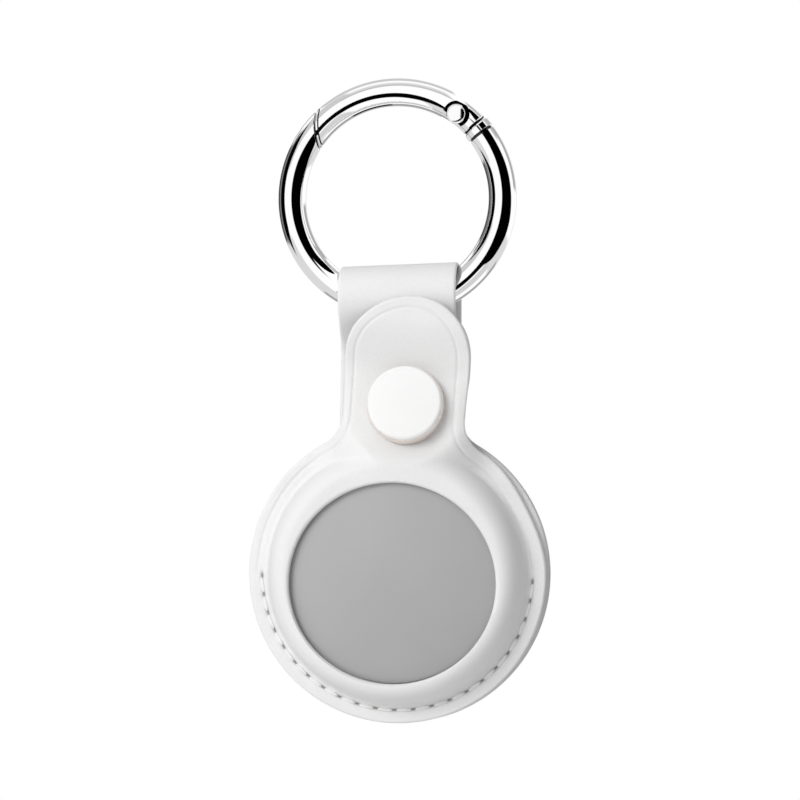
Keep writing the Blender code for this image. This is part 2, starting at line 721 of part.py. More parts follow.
def thread_route(side):
    """Thread on one side of the seam: over each stitch and down into each hole to the lock."""
    flange = PANEL_THICKNESS + TOUCH_GAP / 2
    over = side * (flange + SEAT_GAP + THREAD_RADIUS)
    lock = side * (SEAT_GAP + THREAD_RADIUS)
    route = []
    for index in range(STITCH_COUNT + 1):
        here = stitch_place(index)
        down = here + Vector((0, lock, 0))
        up = here + Vector((0, over, 0))
        if index > 0:
            back = (stitch_place(index - 1) - here).normalized() * THREAD_RADIUS
            route.append(up + back)
        route.append(down)
        if index < STITCH_COUNT:
            on = (stitch_place(index + 1) - here).normalized() * THREAD_RADIUS
            route.append(up + on)
    return route


def window_reach(turn):
    """Distance from the body's centre to the edge of the oval window, which sits a little low."""
    wide = (math.cos(turn) / WINDOW_HALF_WIDTH) ** 2
    high = (math.sin(turn) / WINDOW_HALF_HEIGHT) ** 2
    shift = WINDOW_DROP * math.sin(turn) / WINDOW_HALF_HEIGHT ** 2
    rest = 1 - (WINDOW_DROP / WINDOW_HALF_HEIGHT) ** 2
    return (math.sqrt(shift ** 2 + (wide + high) * rest) - shift) / (wide + high)


def dome_profile(turn):
    """(radius, y) of the moulded front at an angle, from the window's edge to the foot of its wall."""
    edge = window_reach(turn)
    height = FRONT_FLANGE_Y - DOME_FRONT_Y
    steps = 7
    profile = [(edge, DOME_FRONT_Y)]
    for k in range(steps + 1):
        sweep = DOME_SWEEP * k / steps
        radius = max(DOME_TOP_RADIUS + DOME_WALL_WIDTH * math.sin(sweep), edge + WINDOW_LIP)
        profile.append((radius, FRONT_FLANGE_Y - height * math.cos(sweep)))
    profile.append((DOME_FOOT_RADIUS, FRONT_FLANGE_Y))
    return profile


def tongue_marks():
    """(height, y, slope) of the tongue's front face along its middle line, from the window up."""
    at_snap = snap_on_leaf() + leaf_forward() * (SNAP_STACK + PANEL_THICKNESS)
    slope = math.tan(snap_tilt())
    flat = CAP_RADIUS + PANEL_THICKNESS / 2
    clear = LOOP_MID_RADIUS + STRAP_THICKNESS / 2 + TOUCH_GAP + PANEL_THICKNESS
    return [
        (DOME_TOP_RADIUS, DOME_FRONT_Y, 0),
        (SNAP_HEIGHT - flat, at_snap.y - flat * slope, slope),
        (SNAP_HEIGHT + flat, at_snap.y + flat * slope, slope),
        (LOOP_CENTRE_Z - BODY_CENTRE_Z - LOOP_INNER_RADIUS, -clear, 0),
    ]


def tongue_y(height):
    """Reads the tongue's line smoothly between its marks."""
    marks = tongue_marks()
    if height <= marks[0][0]:
        return marks[0][1]
    for (low, low_y, low_slope), (high, high_y, high_slope) in zip(marks, marks[1:]):
        if height <= high:
            span = high - low
            t = (height - low) / span
            value = low_y * (2 * t ** 3 - 3 * t ** 2 + 1) + high_y * (3 * t ** 2 - 2 * t ** 3)
            bend = low_slope * (t ** 3 - 2 * t ** 2 + t) + high_slope * (t ** 3 - t ** 2)
            return value + span * bend
    return marks[-1][1]


def flap_y(x, z, dome_y):
    """Depth of the flap's front face: the dome, the flange or the tongue, whichever stands out."""
    along = z * math.cos(TONGUE_LEAN) + x * math.sin(TONGUE_LEAN)
    across = abs(x * math.cos(TONGUE_LEAN) - z * math.sin(TONGUE_LEAN))
    neck_share = 0.8
    rise_start_share = 0.8
    rise_run_share = 0.25
    softness_share = 0.6
    inner = NECK_HALF_WIDTH * neck_share
    outer = NECK_HALF_WIDTH + SHOULDER_FILLET
    fade = 1 - smooth_step((along - SNAP_HEIGHT) / CAP_RADIUS)
    drop = smooth_step((across - inner) / (outer - inner)) * fade
    rise = smooth_step((along - DOME_TOP_RADIUS * rise_start_share) / (BODY_RADIUS * rise_run_share))
    tongue = tongue_y(along)
    tongue += (FRONT_FLANGE_Y - tongue) * max(drop, 1 - rise)
    softness = PANEL_THICKNESS * softness_share
    reach = max(softness - abs(dome_y - tongue), 0) / softness
    return min(dome_y, tongue) - reach * reach * softness / 4


def flap_outline():
    """(x, z) points about the body's centre, from 3 o'clock over the tongue to 9 o'clock."""
    fillet_z = neck_fillet(NECK_HALF_WIDTH)
    fillet_x = NECK_HALF_WIDTH + SHOULDER_FILLET
    join = math.atan2(fillet_z, fillet_x)
    half = []
    shoulder_steps = 9
    fillet_steps = 5
    side_steps = 4
    tip_steps = 7
    for k in range(1, fillet_steps + 1):
        turn = math.pi + join * (1 - k / fillet_steps)
        across = SHOULDER_FILLET * math.cos(turn)
        up = SHOULDER_FILLET * math.sin(turn)
        half.append((fillet_x + across, fillet_z + up))
    tip_z = TONGUE_HEIGHT - TONGUE_HALF_WIDTH
    for k in range(1, side_steps + 1):
        share = k / side_steps
        half.append((NECK_HALF_WIDTH + (TONGUE_HALF_WIDTH - NECK_HALF_WIDTH) * share,
                     fillet_z + (tip_z - fillet_z) * share))
    for k in range(1, tip_steps):
        turn = math.pi / 2 * k / tip_steps
        half.append((TONGUE_HALF_WIDTH * math.cos(turn), tip_z + TONGUE_HALF_WIDTH * math.sin(turn)))
    whole = half + [(0, TONGUE_HEIGHT)] + [(-x, z) for x, z in reversed(half)]
    turned_points = []
    for x, z in whole:
        turned_points.append((x * math.cos(TONGUE_LEAN) + z * math.sin(TONGUE_LEAN),
                              z * math.cos(TONGUE_LEAN) - x * math.sin(TONGUE_LEAN)))
    right = round_points(0, join - TONGUE_LEAN, shoulder_steps)
    left = round_points(math.pi - join - TONGUE_LEAN, math.pi, shoulder_steps)
    return right + turned_points + left


def round_points(start, end, steps):
    points = []
    for k in range(steps + 1):
        turn = start + (end - start) * k / steps
        points.append((BODY_RADIUS * math.cos(turn), BODY_RADIUS * math.sin(turn)))
    return points


def moulded_panel(name, outline, side, depth_rule, outer_steps):
    """Front leather as columns from the window's edge to the outline, with its true thickness.

    side is 1 over the hinge line and -1 under it, and both stop half a gap from it."""
    columns = []
    for x, z in outline:
        reach = math.hypot(x, z)
        turn = math.atan2(z, x)
        stations = dome_profile(turn)
        for k in range(1, outer_steps + 1):
            share = k / outer_steps
            stations.append((DOME_FOOT_RADIUS + (reach - DOME_FOOT_RADIUS) * share, FRONT_FLANGE_Y))
        column = []
        for radius, dome_y in stations:
            lift = HINGE_GAP / 2
            flat_z = radius * math.sin(turn)
            flat_z = side * max(side * flat_z, lift)
            flat_x = math.copysign(math.sqrt(max(radius ** 2 - flat_z ** 2, 0)), math.cos(turn))
            column.append(Vector((flat_x, depth_rule(flat_x, flat_z, dome_y), flat_z)))
        columns.append(column)
    backs = offset_points(columns, PANEL_THICKNESS, side)
    rows = []
    for column, back in zip(columns, backs):
        rows.append([point + Vector((0, 0, BODY_CENTRE_Z)) for point in column + list(reversed(back))])
    return grid_mesh(name, rows)


def offset_points(columns, thickness, side):
    """Moves each point to the back of the leather along its own normal."""
    backs = []
    last_column = len(columns) - 1
    last_row = len(columns[0]) - 1
    for i, column in enumerate(columns):
        row = []
        for j, point in enumerate(column):
            across = columns[min(i + 1, last_column)][j] - columns[max(i - 1, 0)][j]
            along = column[min(j + 1, last_row)] - column[max(j - 1, 0)]
            normal = across.cross(along)
            if i in (0, last_column):
                normal.z = 0
            if normal.y < 0:
                normal = -normal
            row.append(point + normal.normalized() * thickness)
        backs.append(row)
    return backs


def make_front_panel():
    """Sewn lower half of the moulded front."""
    steps = 36
    outline = round_points(-math.pi, 0, steps)
    mesh = moulded_panel("front_panel", outline, -1, lambda x, z, dome_y: dome_y, 2)
    panel = place("front_panel", mesh, leather(), (0, 0, BODY_CENTRE_Z))
    cut_holes(panel, "front_hole")
    return panel


def flap_axis():
    """Bend line of the leather: across the front at the stitch ends."""
    return Vector((0, DOME_FRONT_Y, BODY_CENTRE_Z))


def make_flap(pivot):
    """Upper half of the front leather with the tongue."""
    mesh = moulded_panel("flap", flap_outline(), 1, flap_y, 8)
    flap = place("flap", mesh, leather(), flap_axis(), pivot)
    start = snap_frame(-CUT_OVERRUN) @ Vector((0, 0, 0))
    end = snap_frame(3 * CUT_OVERRUN) @ Vector((0, 0, 0))
    hole = cylinder("cap_hole", start, end, CAP_POST_RADIUS + POST_CLEARANCE)
    combine(flap, cutter_object("cap_hole", hole), "DIFFERENCE")
    return flap


def make_snap(flap_pivot):
    """Press stud: stud and its post on the strap, socket and cap on the tongue."""
    post_room = POST_RADIUS + POST_CLEARANCE
    neck_share = 0.55
    bulb_share = 0.75
    nose_share = 0.92
    nose_radius_share = 0.9
    stud = [
        (post_room, -SEAT_GAP),
        (STUD_FLANGE_RADIUS, -SEAT_GAP),
        (STUD_FLANGE_RADIUS, -SEAT_GAP - STUD_FLANGE_THICKNESS),
        (STUD_NECK_RADIUS, -SEAT_GAP - STUD_FLANGE_THICKNESS),
        (STUD_NECK_RADIUS, -STUD_HEIGHT * neck_share),
        (STUD_BULB_RADIUS, -STUD_HEIGHT * bulb_share),
        (STUD_BULB_RADIUS * nose_radius_share, -STUD_HEIGHT * nose_share),
        (post_room, -STUD_HEIGHT),
    ]
    place("snap_stud", turned("snap_stud", stud, snap_frame(0), SMALL_SEGMENTS), steel(), snap_on_leaf())
    leaves = LEAF_PITCH + STRAP_THICKNESS / 2 + PANEL_THICKNESS / 2
    post_share = 0.9
    head_edge_share = 0.97
    head_side_share = 0.7
    head_crown_share = 0.85
    post = [
        (0, -STUD_HEIGHT * post_share),
        (POST_RADIUS, -STUD_HEIGHT * post_share),
        (POST_RADIUS, leaves + SEAT_GAP),
        (POST_HEAD_RADIUS, leaves + SEAT_GAP),
        (POST_HEAD_RADIUS * head_edge_share, leaves + SEAT_GAP + POST_HEAD_THICKNESS * head_side_share),
        (POST_HEAD_RADIUS * head_crown_share, leaves + SEAT_GAP + POST_HEAD_THICKNESS),
        (0, leaves + SEAT_GAP + POST_HEAD_THICKNESS),
    ]
    place("snap_post", turned("snap_post", post, snap_frame(0), SMALL_SEGMENTS), steel(), snap_on_leaf())
    back = SOCKET_MOUTH + SOCKET_THICKNESS
    inner = CAP_POST_RADIUS + POST_CLEARANCE
    taper_share = 0.4
    mouth_share = 0.8
    socket = [
        (inner, -back),
        (SOCKET_RADIUS, -back),
        (SOCKET_RADIUS, -back + SOCKET_THICKNESS * taper_share),
        (SOCKET_RADIUS * mouth_share, -SOCKET_MOUTH),
        (SOCKET_BORE_RADIUS, -SOCKET_MOUTH),
        (SOCKET_BORE_RADIUS, -SOCKET_FLOOR),
        (inner, -SOCKET_FLOOR),
    ]
    place("snap_socket", turned("snap_socket", socket, snap_frame(0), SMALL_SEGMENTS), steel(),
          flap_axis(), flap_pivot)
    seat = SNAP_STACK + PANEL_THICKNESS + SEAT_GAP
    top = seat + CAP_THICKNESS
    crown_share = 0.5
    edge_shares = ((0, 0.08), (1, 0.3), (0.3, 0.7), (0, 1.4))
    cap = [
        (0, -top),
        (CAP_RADIUS * crown_share, -top + CAP_EDGE_RADIUS * edge_shares[0][1]),
    ]
    for inset_share, drop_share in edge_shares[1:]:
        cap.append((CAP_RADIUS - CAP_EDGE_RADIUS * inset_share, -top + CAP_EDGE_RADIUS * drop_share))
    cap += [
        (CAP_RADIUS, -seat),
        (CAP_POST_RADIUS, -seat),
        (CAP_POST_RADIUS, -SOCKET_FLOOR - SEAT_GAP),
        (0, -SOCKET_FLOOR - SEAT_GAP),
    ]
    mesh = turned("snap_cap", cap, snap_frame(0), ROUND_SEGMENTS)
    finish = material("white_enamel", (0.92, 0.92, 0.91), 0.15, 0)
    place("snap_cap", mesh, finish, flap_axis(), flap_pivot)


def tag_frame():
    return Matrix.Translation((0, TAG_FRONT_Y, BODY_CENTRE_Z))


def tag_place(name, profile, finish, parent, segments=ROUND_SEGMENTS):
    mesh = turned(name, profile, tag_frame(), segments)
    return place(name, mesh, finish, (0, 0, BODY_CENTRE_Z), parent)


def ring_profile(inner, outer, front, back):
    if inner == 0:
        return [(0, front), (outer, front), (outer, back), (0, back)]
    return [(inner, front), (outer, front), (outer, back), (inner, back)]


def make_tag(pivot, cover_pivot):
    """Tracker tag: plastic shell, steel cover and what is inside. Depths run from its front."""
    inside = COVER_RADIUS + COVER_GAP
    skirt_room = COVER_SKIRT_RADIUS + COVER_GAP
    flat_back_shares = (0.56, 0.975)
    round_back_shares = (0.83, 0.91)
    back_room_share = 0.80
    side_room_share = 0.78
    side_shares = ((0.955, 0.19), (0.99, 0.33), (1, 0.5), (0.99, 0.66), (0.94, 0.81))
    shell = [
        (0, TAG_THICKNESS - SHELL_WALL),
        (TAG_RADIUS * flat_back_shares[0], TAG_THICKNESS * flat_back_shares[1] - SHELL_WALL),
        (TAG_RADIUS * back_room_share, TAG_THICKNESS * round_back_shares[1] - SHELL_WALL),
        (skirt_room, TAG_THICKNESS * side_room_share - SHELL_WALL / 2),
        (skirt_room, COVER_RIM + COVER_GAP),
        (inside - COVER_GAP, COVER_RIM + COVER_GAP),
        (inside, COVER_RIM),
    ]
    for radius_share, depth_share in side_shares + (round_back_shares, flat_back_shares):
        shell.append((TAG_RADIUS * radius_share, TAG_THICKNESS * depth_share))
    shell.append((0, TAG_THICKNESS))
    tag_place("tag_shell", shell, white_plastic(), pivot)
    skirt = COVER_SKIRT_RADIUS
    face_shares = ((0.6, 0.3), (0.86, 0.85), (1, 1.3))
    cover = [(0, 0)]
    for radius_share, drop_share in face_shares:
        cover.append((COVER_RADIUS * radius_share, COVER_DROP * drop_share))
    cover += [
        (COVER_RADIUS, COVER_RIM),
        (skirt, COVER_RIM),
        (skirt, COVER_RIM + SKIRT_LENGTH),
        (skirt - COVER_THICKNESS, COVER_RIM + SKIRT_LENGTH),
        (skirt - COVER_THICKNESS, COVER_RIM),
        (0, COVER_THICKNESS),
    ]
    tag_place("tag_cover", cover, steel(), cover_pivot)
    cell_step_share = 0.92
    cell = [
        (0, CELL_FRONT),
        (CELL_RADIUS, CELL_FRONT),
        (CELL_RADIUS, CELL_BACK - CONTACT_SPACE),
        (CELL_RADIUS * cell_step_share, CELL_BACK),
        (0, CELL_BACK),
    ]
    tag_place("coin_cell", cell, steel(), pivot)
    washer_back = TRAY_FRONT - COVER_GAP
    washer = ring_profile(CONTACT_HOLE_RADIUS, CONTACT_RADIUS, washer_back - CONTACT_THICKNESS, washer_back)
    tag_place("negative_contact", washer, copper(), pivot, SMALL_SEGMENTS)
    wall_inner = CELL_RADIUS + COVER_GAP
    wall_outer = wall_inner + TRAY_THICKNESS
    wall_front = CELL_FRONT + CELL_THICKNESS / 2
    tray = [
        (CONTACT_HOLE_RADIUS, TRAY_FRONT),
        (wall_inner, TRAY_FRONT),
        (wall_inner, wall_front),
        (wall_outer, wall_front),
        (wall_outer, TRAY_FRONT),
        (TRAY_RADIUS, TRAY_FRONT),
        (TRAY_RADIUS, TRAY_FRONT + TRAY_THICKNESS),
        (CONTACT_HOLE_RADIUS, TRAY_FRONT + TRAY_THICKNESS),
    ]
    tag_place("battery_tray", tray, white_plastic(), pivot)
    clip_inner = wall_outer + COVER_GAP
    clip = ring_profile(clip_inner, clip_inner + CONTACT_THICKNESS, wall_front, TRAY_FRONT - COVER_GAP)
    tag_place("positive_contact", clip, copper(), pivot)
    board = ring_profile(BOARD_HOLE_RADIUS, BOARD_RADIUS, BOARD_FRONT, BOARD_FRONT + BOARD_THICKNESS)
    tag_place("circuit_board", board, board_green(), pivot)
    magnet = ring_profile(0, MAGNET_RADIUS, BOARD_FRONT, SPEAKER_BACK - COVER_GAP)
    tag_place("speaker_magnet", magnet, steel(), pivot, SMALL_SEGMENTS)
    coil_inner = MAGNET_RADIUS + COIL_CLEARANCE
    coil = ring_profile(coil_inner, coil_inner + COIL_WIDTH, BOARD_FRONT + COVER_GAP, SPEAKER_BACK)
    tag_place("voice_coil", coil, copper(), pivot, SMALL_SEGMENTS)


def pivot_empty(name, location):
    made = bpy.data.objects.new(name, None)
    made.location = location
    bpy.context.scene.collection.objects.link(made)
    return made


clear_scene()
make_ring_body()
gate_pivot = pivot_empty("gate_pivot", pin_centre())
make_gate(gate_pivot)
make_hinge_pin(gate_pivot)
make_plunger_and_spring(gate_pivot)
make_back_panel()
make_front_panel()
tube("needle_thread", thread_route(-1), THREAD_RADIUS, thread(), 6)
tube("bobbin_thread", thread_route(1), THREAD_RADIUS, thread(), 6)
flap_pivot = pivot_empty("flap_pivot", flap_axis())
make_flap(flap_pivot)
make_snap(flap_pivot)
tag_pivot = pivot_empty("tag_pivot", (0, 0, BODY_CENTRE_Z))
cover_pivot = pivot_empty("cover_pivot", (0, 0, BODY_CENTRE_Z))
make_tag(tag_pivot, cover_pivot)
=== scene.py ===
import math

import bmesh
import bpy
import numpy as np
from mathutils import Matrix, Vector


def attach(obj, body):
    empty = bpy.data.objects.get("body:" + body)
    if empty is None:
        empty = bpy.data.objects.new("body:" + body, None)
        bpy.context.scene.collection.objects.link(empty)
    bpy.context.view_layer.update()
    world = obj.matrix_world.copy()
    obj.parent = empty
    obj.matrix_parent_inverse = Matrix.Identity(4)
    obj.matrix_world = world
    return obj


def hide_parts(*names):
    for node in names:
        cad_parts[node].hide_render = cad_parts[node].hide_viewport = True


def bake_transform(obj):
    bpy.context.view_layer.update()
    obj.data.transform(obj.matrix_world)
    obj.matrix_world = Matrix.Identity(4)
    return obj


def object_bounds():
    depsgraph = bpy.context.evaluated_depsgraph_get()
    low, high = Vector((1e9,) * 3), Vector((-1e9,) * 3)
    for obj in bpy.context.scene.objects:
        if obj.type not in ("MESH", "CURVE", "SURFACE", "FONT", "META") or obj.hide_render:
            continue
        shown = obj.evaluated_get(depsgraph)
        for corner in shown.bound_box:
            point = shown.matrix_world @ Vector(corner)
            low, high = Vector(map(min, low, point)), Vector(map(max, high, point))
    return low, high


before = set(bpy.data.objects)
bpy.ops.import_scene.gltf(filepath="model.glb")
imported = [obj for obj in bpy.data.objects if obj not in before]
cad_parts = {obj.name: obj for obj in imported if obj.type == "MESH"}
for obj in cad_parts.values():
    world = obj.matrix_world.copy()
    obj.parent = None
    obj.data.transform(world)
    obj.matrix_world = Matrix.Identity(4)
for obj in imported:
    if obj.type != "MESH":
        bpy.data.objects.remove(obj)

cad_box = [list(corner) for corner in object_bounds()]

# Camera
# It stands level with the press stud, a little to the object's right, and looks at the middle of
# the hanging object. The photograph shows 7.36 px for each millimetre.
PIXELS_PER_METRE = 7360
IMAGE_PIXELS = 800
SENSOR_WIDTH = 36
CAMERA_AZIMUTH = math.radians(7)
CAMERA_DISTANCE = 0.45
VIEW_CENTRE = Vector((0.0004, 0, -0.0399))


def add_object(name, data):
    made = bpy.data.objects.new(name, data)
    bpy.context.scene.collection.objects.link(made)
    return made


camera_data = bpy.data.cameras.new("camera")
camera = add_object("camera", camera_data)
bpy.context.scene.camera = camera
camera_data.sensor_width = SENSOR_WIDTH
camera_data.lens = SENSOR_WIDTH * CAMERA_DISTANCE * PIXELS_PER_METRE / IMAGE_PIXELS
camera_data.clip_start = 0.01
away = Vector((math.sin(CAMERA_AZIMUTH), -math.cos(CAMERA_AZIMUTH), 0))
camera.location = VIEW_CENTRE + away * CAMERA_DISTANCE
camera.rotation_euler = (-away).to_track_quat("-Z", "Y").to_euler()
bpy.context.scene.view_settings.view_transform = "Standard"

# Floor and backdrop
# One pale plane under the hanging object. It reads as plain white, keeps the object's shadow and
# stays out of the chrome's reflections. The world gives the backdrop.
FLOOR_DROP = 0.070
FLOOR_SIZE = 0.8
FLOOR_GLOW = 0.45
floor_height = cad_box[0][2] - FLOOR_DROP
floor_mesh = bpy.data.meshes.new("floor")
half = FLOOR_SIZE / 2
corners = [(-half, -half), (half, -half), (half, half), (-half, half)]
floor_mesh.from_pydata([(x, y, floor_height) for x, y in corners], [], [(0, 1, 2, 3)])
floor = add_object("floor", floor_mesh)
floor.visible_glossy = False


def set_inputs(node, values):
    for socket, value in values.items():
        node.inputs[socket].default_value = value


def add_node(tree, kind, values=None, **settings):
    """A node with its settings, and the values of its named or numbered inputs."""
    made = tree.nodes.new(kind)
    for key, value in settings.items():
        setattr(made, key, value)
    set_inputs(made, values or {})
    return made


def link(tree, *joins):
    """Links each (node, output, node, input)."""
    for source, output, target, socket in joins:
        tree.links.new(source.outputs[output], target.inputs[socket])


def new_material(name):
    made = bpy.data.materials.new(name)
    made.use_nodes = True
    tree = made.node_tree
    return made, tree, tree.nodes["Principled BSDF"]


floor_finish, tree, shader = new_material("floor_white")
set_inputs(shader, {"Base Color": (0.9, 0.9, 0.9, 1), "Roughness": 0.9, "Emission Color": (1, 1, 1, 1)})
floor_noise = add_node(tree, "ShaderNodeTexNoise", {"Scale": 40})
floor_bump = add_node(tree, "ShaderNodeBump", {"Strength": 0.05})
floor_paths = add_node(tree, "ShaderNodeLightPath")
floor_glow = add_node(tree, "ShaderNodeMath", {1: FLOOR_GLOW}, operation="MULTIPLY")
link(tree, (floor_noise, "Fac", floor_bump, "Height"), (floor_bump, "Normal", shader, "Normal"),
     (floor_paths, "Is Camera Ray", floor_glow, 0), (floor_glow, 0, shader, "Emission Strength"))
floor_mesh.materials.append(floor_finish)

# Light
# Plain soft studio light: a pale room, brighter on the left, two broad soft lamps, and the dark
# cards that a studio puts round polished metal. Only mirror rays see the cards.
ROOM_LIGHT = 0.465
ROOM_SLOPE = 0.33
MIRROR_LIGHT = 1.05
MIRROR_BLACK = 0.0005
CARD_EDGE = math.radians(2)
world = bpy.data.worlds.new("studio")
bpy.context.scene.world = world
world.use_nodes = True
tree = world.node_tree
background = tree.nodes["Background"]
coordinates = add_node(tree, "ShaderNodeTexCoord")
direction = add_node(tree, "ShaderNodeSeparateXYZ")
link(tree, (coordinates, "Generated", direction, "Vector"))


def add_math(operation, first, second=None):
    """One sum in the tree at hand. A number is set on the socket and an output is linked."""
    made = add_node(tree, "ShaderNodeMath", operation=operation)
    for socket, value in zip(made.inputs, (first, second)):
        if isinstance(value, (int, float)):
            socket.default_value = value
        elif value is not None:
            tree.links.new(value, socket)
    return made.outputs[0]


def ramp(value, start, end):
    """0 before start and 1 after end, or the other way round where end is the lower."""
    low, high = sorted((start, end))
    first, last = (0, 1) if start < end else (1, 0)
    made = add_node(tree, "ShaderNodeMapRange", interpolation_type="SMOOTHSTEP",
                    values={"From Min": low, "From Max": high, "To Min": first, "To Max": last})
    tree.links.new(value, made.inputs["Value"])
    return made.outputs["Result"]


def soft_range(value, low, high):
    """1 between two angles in degrees, with soft ends."""
    low = math.radians(low)
    high = math.radians(high)
    return add_math("MULTIPLY", ramp(value, low - CARD_EDGE, low + CARD_EDGE),
                    ramp(value, high + CARD_EDGE, high - CARD_EDGE))


def along_axis(axis):
    made = add_node(tree, "ShaderNodeVectorMath", {1: axis}, operation="DOT_PRODUCT")
    link(tree, (coordinates, "Generated", made, 0))
    return made.outputs["Value"]


# The cards stand round the front of the object: spread is how far off its front axis, and turn is
# the direction round that axis, 0 to the right and 90 degrees up. The black card's outline is
# (turn, spread) in degrees, as far as it reaches.
rightward = along_axis((math.cos(CAMERA_AZIMUTH), math.sin(CAMERA_AZIMUTH), 0))
spread = add_math("ARCCOSINE", along_axis(away))
turn = add_math("ARCTAN2", direction.outputs["Z"], rightward)
turn_left = add_math("ARCTAN2", direction.outputs["Z"], add_math("MULTIPLY", rightward, -1))
BLACK_CARD = [(-180, 7), (-150, 8), (-142, 34), (-134, 54), (-120, 54), (-105, 46), (-90, 38),
              (-75, 33), (-58, 28), (-50, 30), (-42, 44), (-35, 62), (-25, 74), (-15, 82), (0, 75),
              (20, 69), (42, 64), (54, 78), (61, 70), (68, 22), (90, 18), (120, 12), (150, 8), (180, 7)]
card_shape = add_node(tree, "ShaderNodeFloatCurve")
outline = card_shape.mapping.curves[0]
outline.points[0].location = (0, BLACK_CARD[0][1] / 180)
outline.points[1].location = (1, BLACK_CARD[-1][1] / 180)
for card_turn, card_reach in BLACK_CARD[1:-1]:
    outline.points.new(card_turn / 360 + 0.5, card_reach / 180)
card_shape.mapping.update()
tree.links.new(add_math("ADD", add_math("DIVIDE", turn, math.tau), 0.5), card_shape.inputs["Value"])
reach = add_math("MULTIPLY", card_shape.outputs["Value"], math.pi)
black_card = ramp(add_math("SUBTRACT", spread, reach), CARD_EDGE, -CARD_EDGE)
far_card = ramp(spread, math.radians(150), math.radians(156))

# The black card at the left side narrows towards both its ends.
SIDE_MIDDLE = math.radians(8)
SIDE_SPREAD = math.radians(91)
SIDE_TAPER = 0.6
off_spread = add_math("ABSOLUTE", add_math("SUBTRACT", spread, SIDE_SPREAD))
off_middle = add_math("ABSOLUTE", add_math("SUBTRACT", turn_left, SIDE_MIDDLE))
side_turn = add_math("ADD", off_middle, add_math("MULTIPLY", off_spread, SIDE_TAPER))

# The rest are plain cards: where they stand, their turns, their spreads and how dark they are.
cards = [(black_card, 1), (far_card, 0.36)]
for angle, turns, spreads, level in (
        (side_turn, (-5, 32), (65, 108), 1), (turn_left, (-18, 36), (106, 125), 0.8),
        (turn_left, (-16, 30), (124, 144), 0.97), (turn_left, (-16, 54), (142, 158), 0.87),
        (turn_left, (16, 60), (54, 104), 0.4), (turn_left, (-60, -12), (54, 150), 0.3),
        (turn, (72, 130), (53, 68), 0.46), (turn, (72, 130), (60, 84), 0.30),
        (turn, (66, 130), (108, 152), 0.42), (turn, (-92, -62), (113, 136), 1),
        (turn, (-134, -30), (115, 152), 0.64), (turn, (-70, -38), (38, 80), 0.36),
        (turn, (-40, -18), (60, 150), 0.30), (turn, (8, 46), (104, 142), 0.6),
        (turn, (36, 60), (84, 112), 0.5)):
    cards.append((add_math("MULTIPLY", soft_range(angle, *turns), soft_range(spread, *spreads)), level))
shade = 0
for card, level in cards:
    shade = add_math("MAXIMUM", shade, add_math("MULTIPLY", card, level))
mirrored = add_math("MULTIPLY", add_math("SUBTRACT", 1, shade), MIRROR_LIGHT)
mirrored = add_math("MAXIMUM", mirrored, MIRROR_BLACK)

paths = add_node(tree, "ShaderNodeLightPath")
glossy = paths.outputs["Is Glossy Ray"]
seen = add_math("MAXIMUM", paths.outputs["Is Camera Ray"], paths.outputs["Is Transmission Ray"])
room_side = add_math("SUBTRACT", 1, add_math("MULTIPLY", direction.outputs["X"], ROOM_SLOPE))
room_level = add_math("MULTIPLY", add_math("SUBTRACT", 1, seen), ROOM_LIGHT)
room = add_math("ADD", add_math("MULTIPLY", room_side, room_level), seen)
strength = add_math("ADD", add_math("MULTIPLY", glossy, mirrored),
                    add_math("MULTIPLY", add_math("SUBTRACT", 1, glossy), room))
background.inputs["Color"].default_value = (1, 1, 1, 1)
tree.links.new(strength, background.inputs["Strength"])


def soft_lamp(name, place, size, power):
    data = bpy.data.lights.new(name, "AREA")
    data.shape = "DISK"
    data.size = size
    data.energy = power
    lamp = add_object(name, data)
    lamp.location = place
    lamp.rotation_euler = (VIEW_CENTRE - Vector(place)).to_track_quat("-Z", "Y").to_euler()
    lamp.visible_glossy = False


soft_lamp("left_lamp", (-0.26, -0.54, 0.20), 0.34, 2.15)
soft_lamp("top_lamp", (-0.05, -0.25, 0.60), 0.40, 0.35)

# Shared surface effects
# Leather, thread, plastic and metal share two effects: fine grain, and slow clouding of a colour.


def new_group(name, inputs, outputs):
    made = bpy.data.node_groups.new(name, "ShaderNodeTree")
    for label, kind, value in inputs:
        socket = made.interface.new_socket(name=label, in_out="INPUT", socket_type=kind)
        socket.default_value = value
    for label, kind in outputs:
        made.interface.new_socket(name=label, in_out="OUTPUT", socket_type=kind)
    start = made.nodes.new("NodeGroupInput")
    end = made.nodes.new("NodeGroupOutput")
    return made, start, end


FLOAT = "NodeSocketFloat"
GRAIN_DISTANCE = 0.0001
grain, start, end = new_group(
    "fine_grain",
    [("Scale", FLOAT, 1400.0), ("Pore Share", FLOAT, 0.5), ("Detail", FLOAT, 6.0)],
    [("Height", FLOAT), ("Pores", FLOAT)])
spot = add_node(grain, "ShaderNodeTexCoord")
cells = add_node(grain, "ShaderNodeTexVoronoi", feature="DISTANCE_TO_EDGE")
creases = add_node(grain, "ShaderNodeTexNoise")
wide = add_node(grain, "ShaderNodeMath", {1: 0.6}, operation="MULTIPLY")
pores = add_node(grain, "ShaderNodeMapRange", {"From Max": 0.12})
mixed = add_node(grain, "ShaderNodeMix", data_type="FLOAT")
link(grain, (spot, "Object", cells, "Vector"), (spot, "Object", creases, "Vector"),
     (start, "Scale", cells, "Scale"), (start, "Detail", creases, "Detail"),
     (start, "Scale", wide, 0), (wide, 0, creases, "Scale"), (cells, "Distance", pores, "Value"),
     (start, "Pore Share", mixed, 0), (creases, "Fac", mixed, 2), (pores, "Result", mixed, 3),
     (mixed, 0, end, "Height"), (pores, "Result", end, "Pores"))

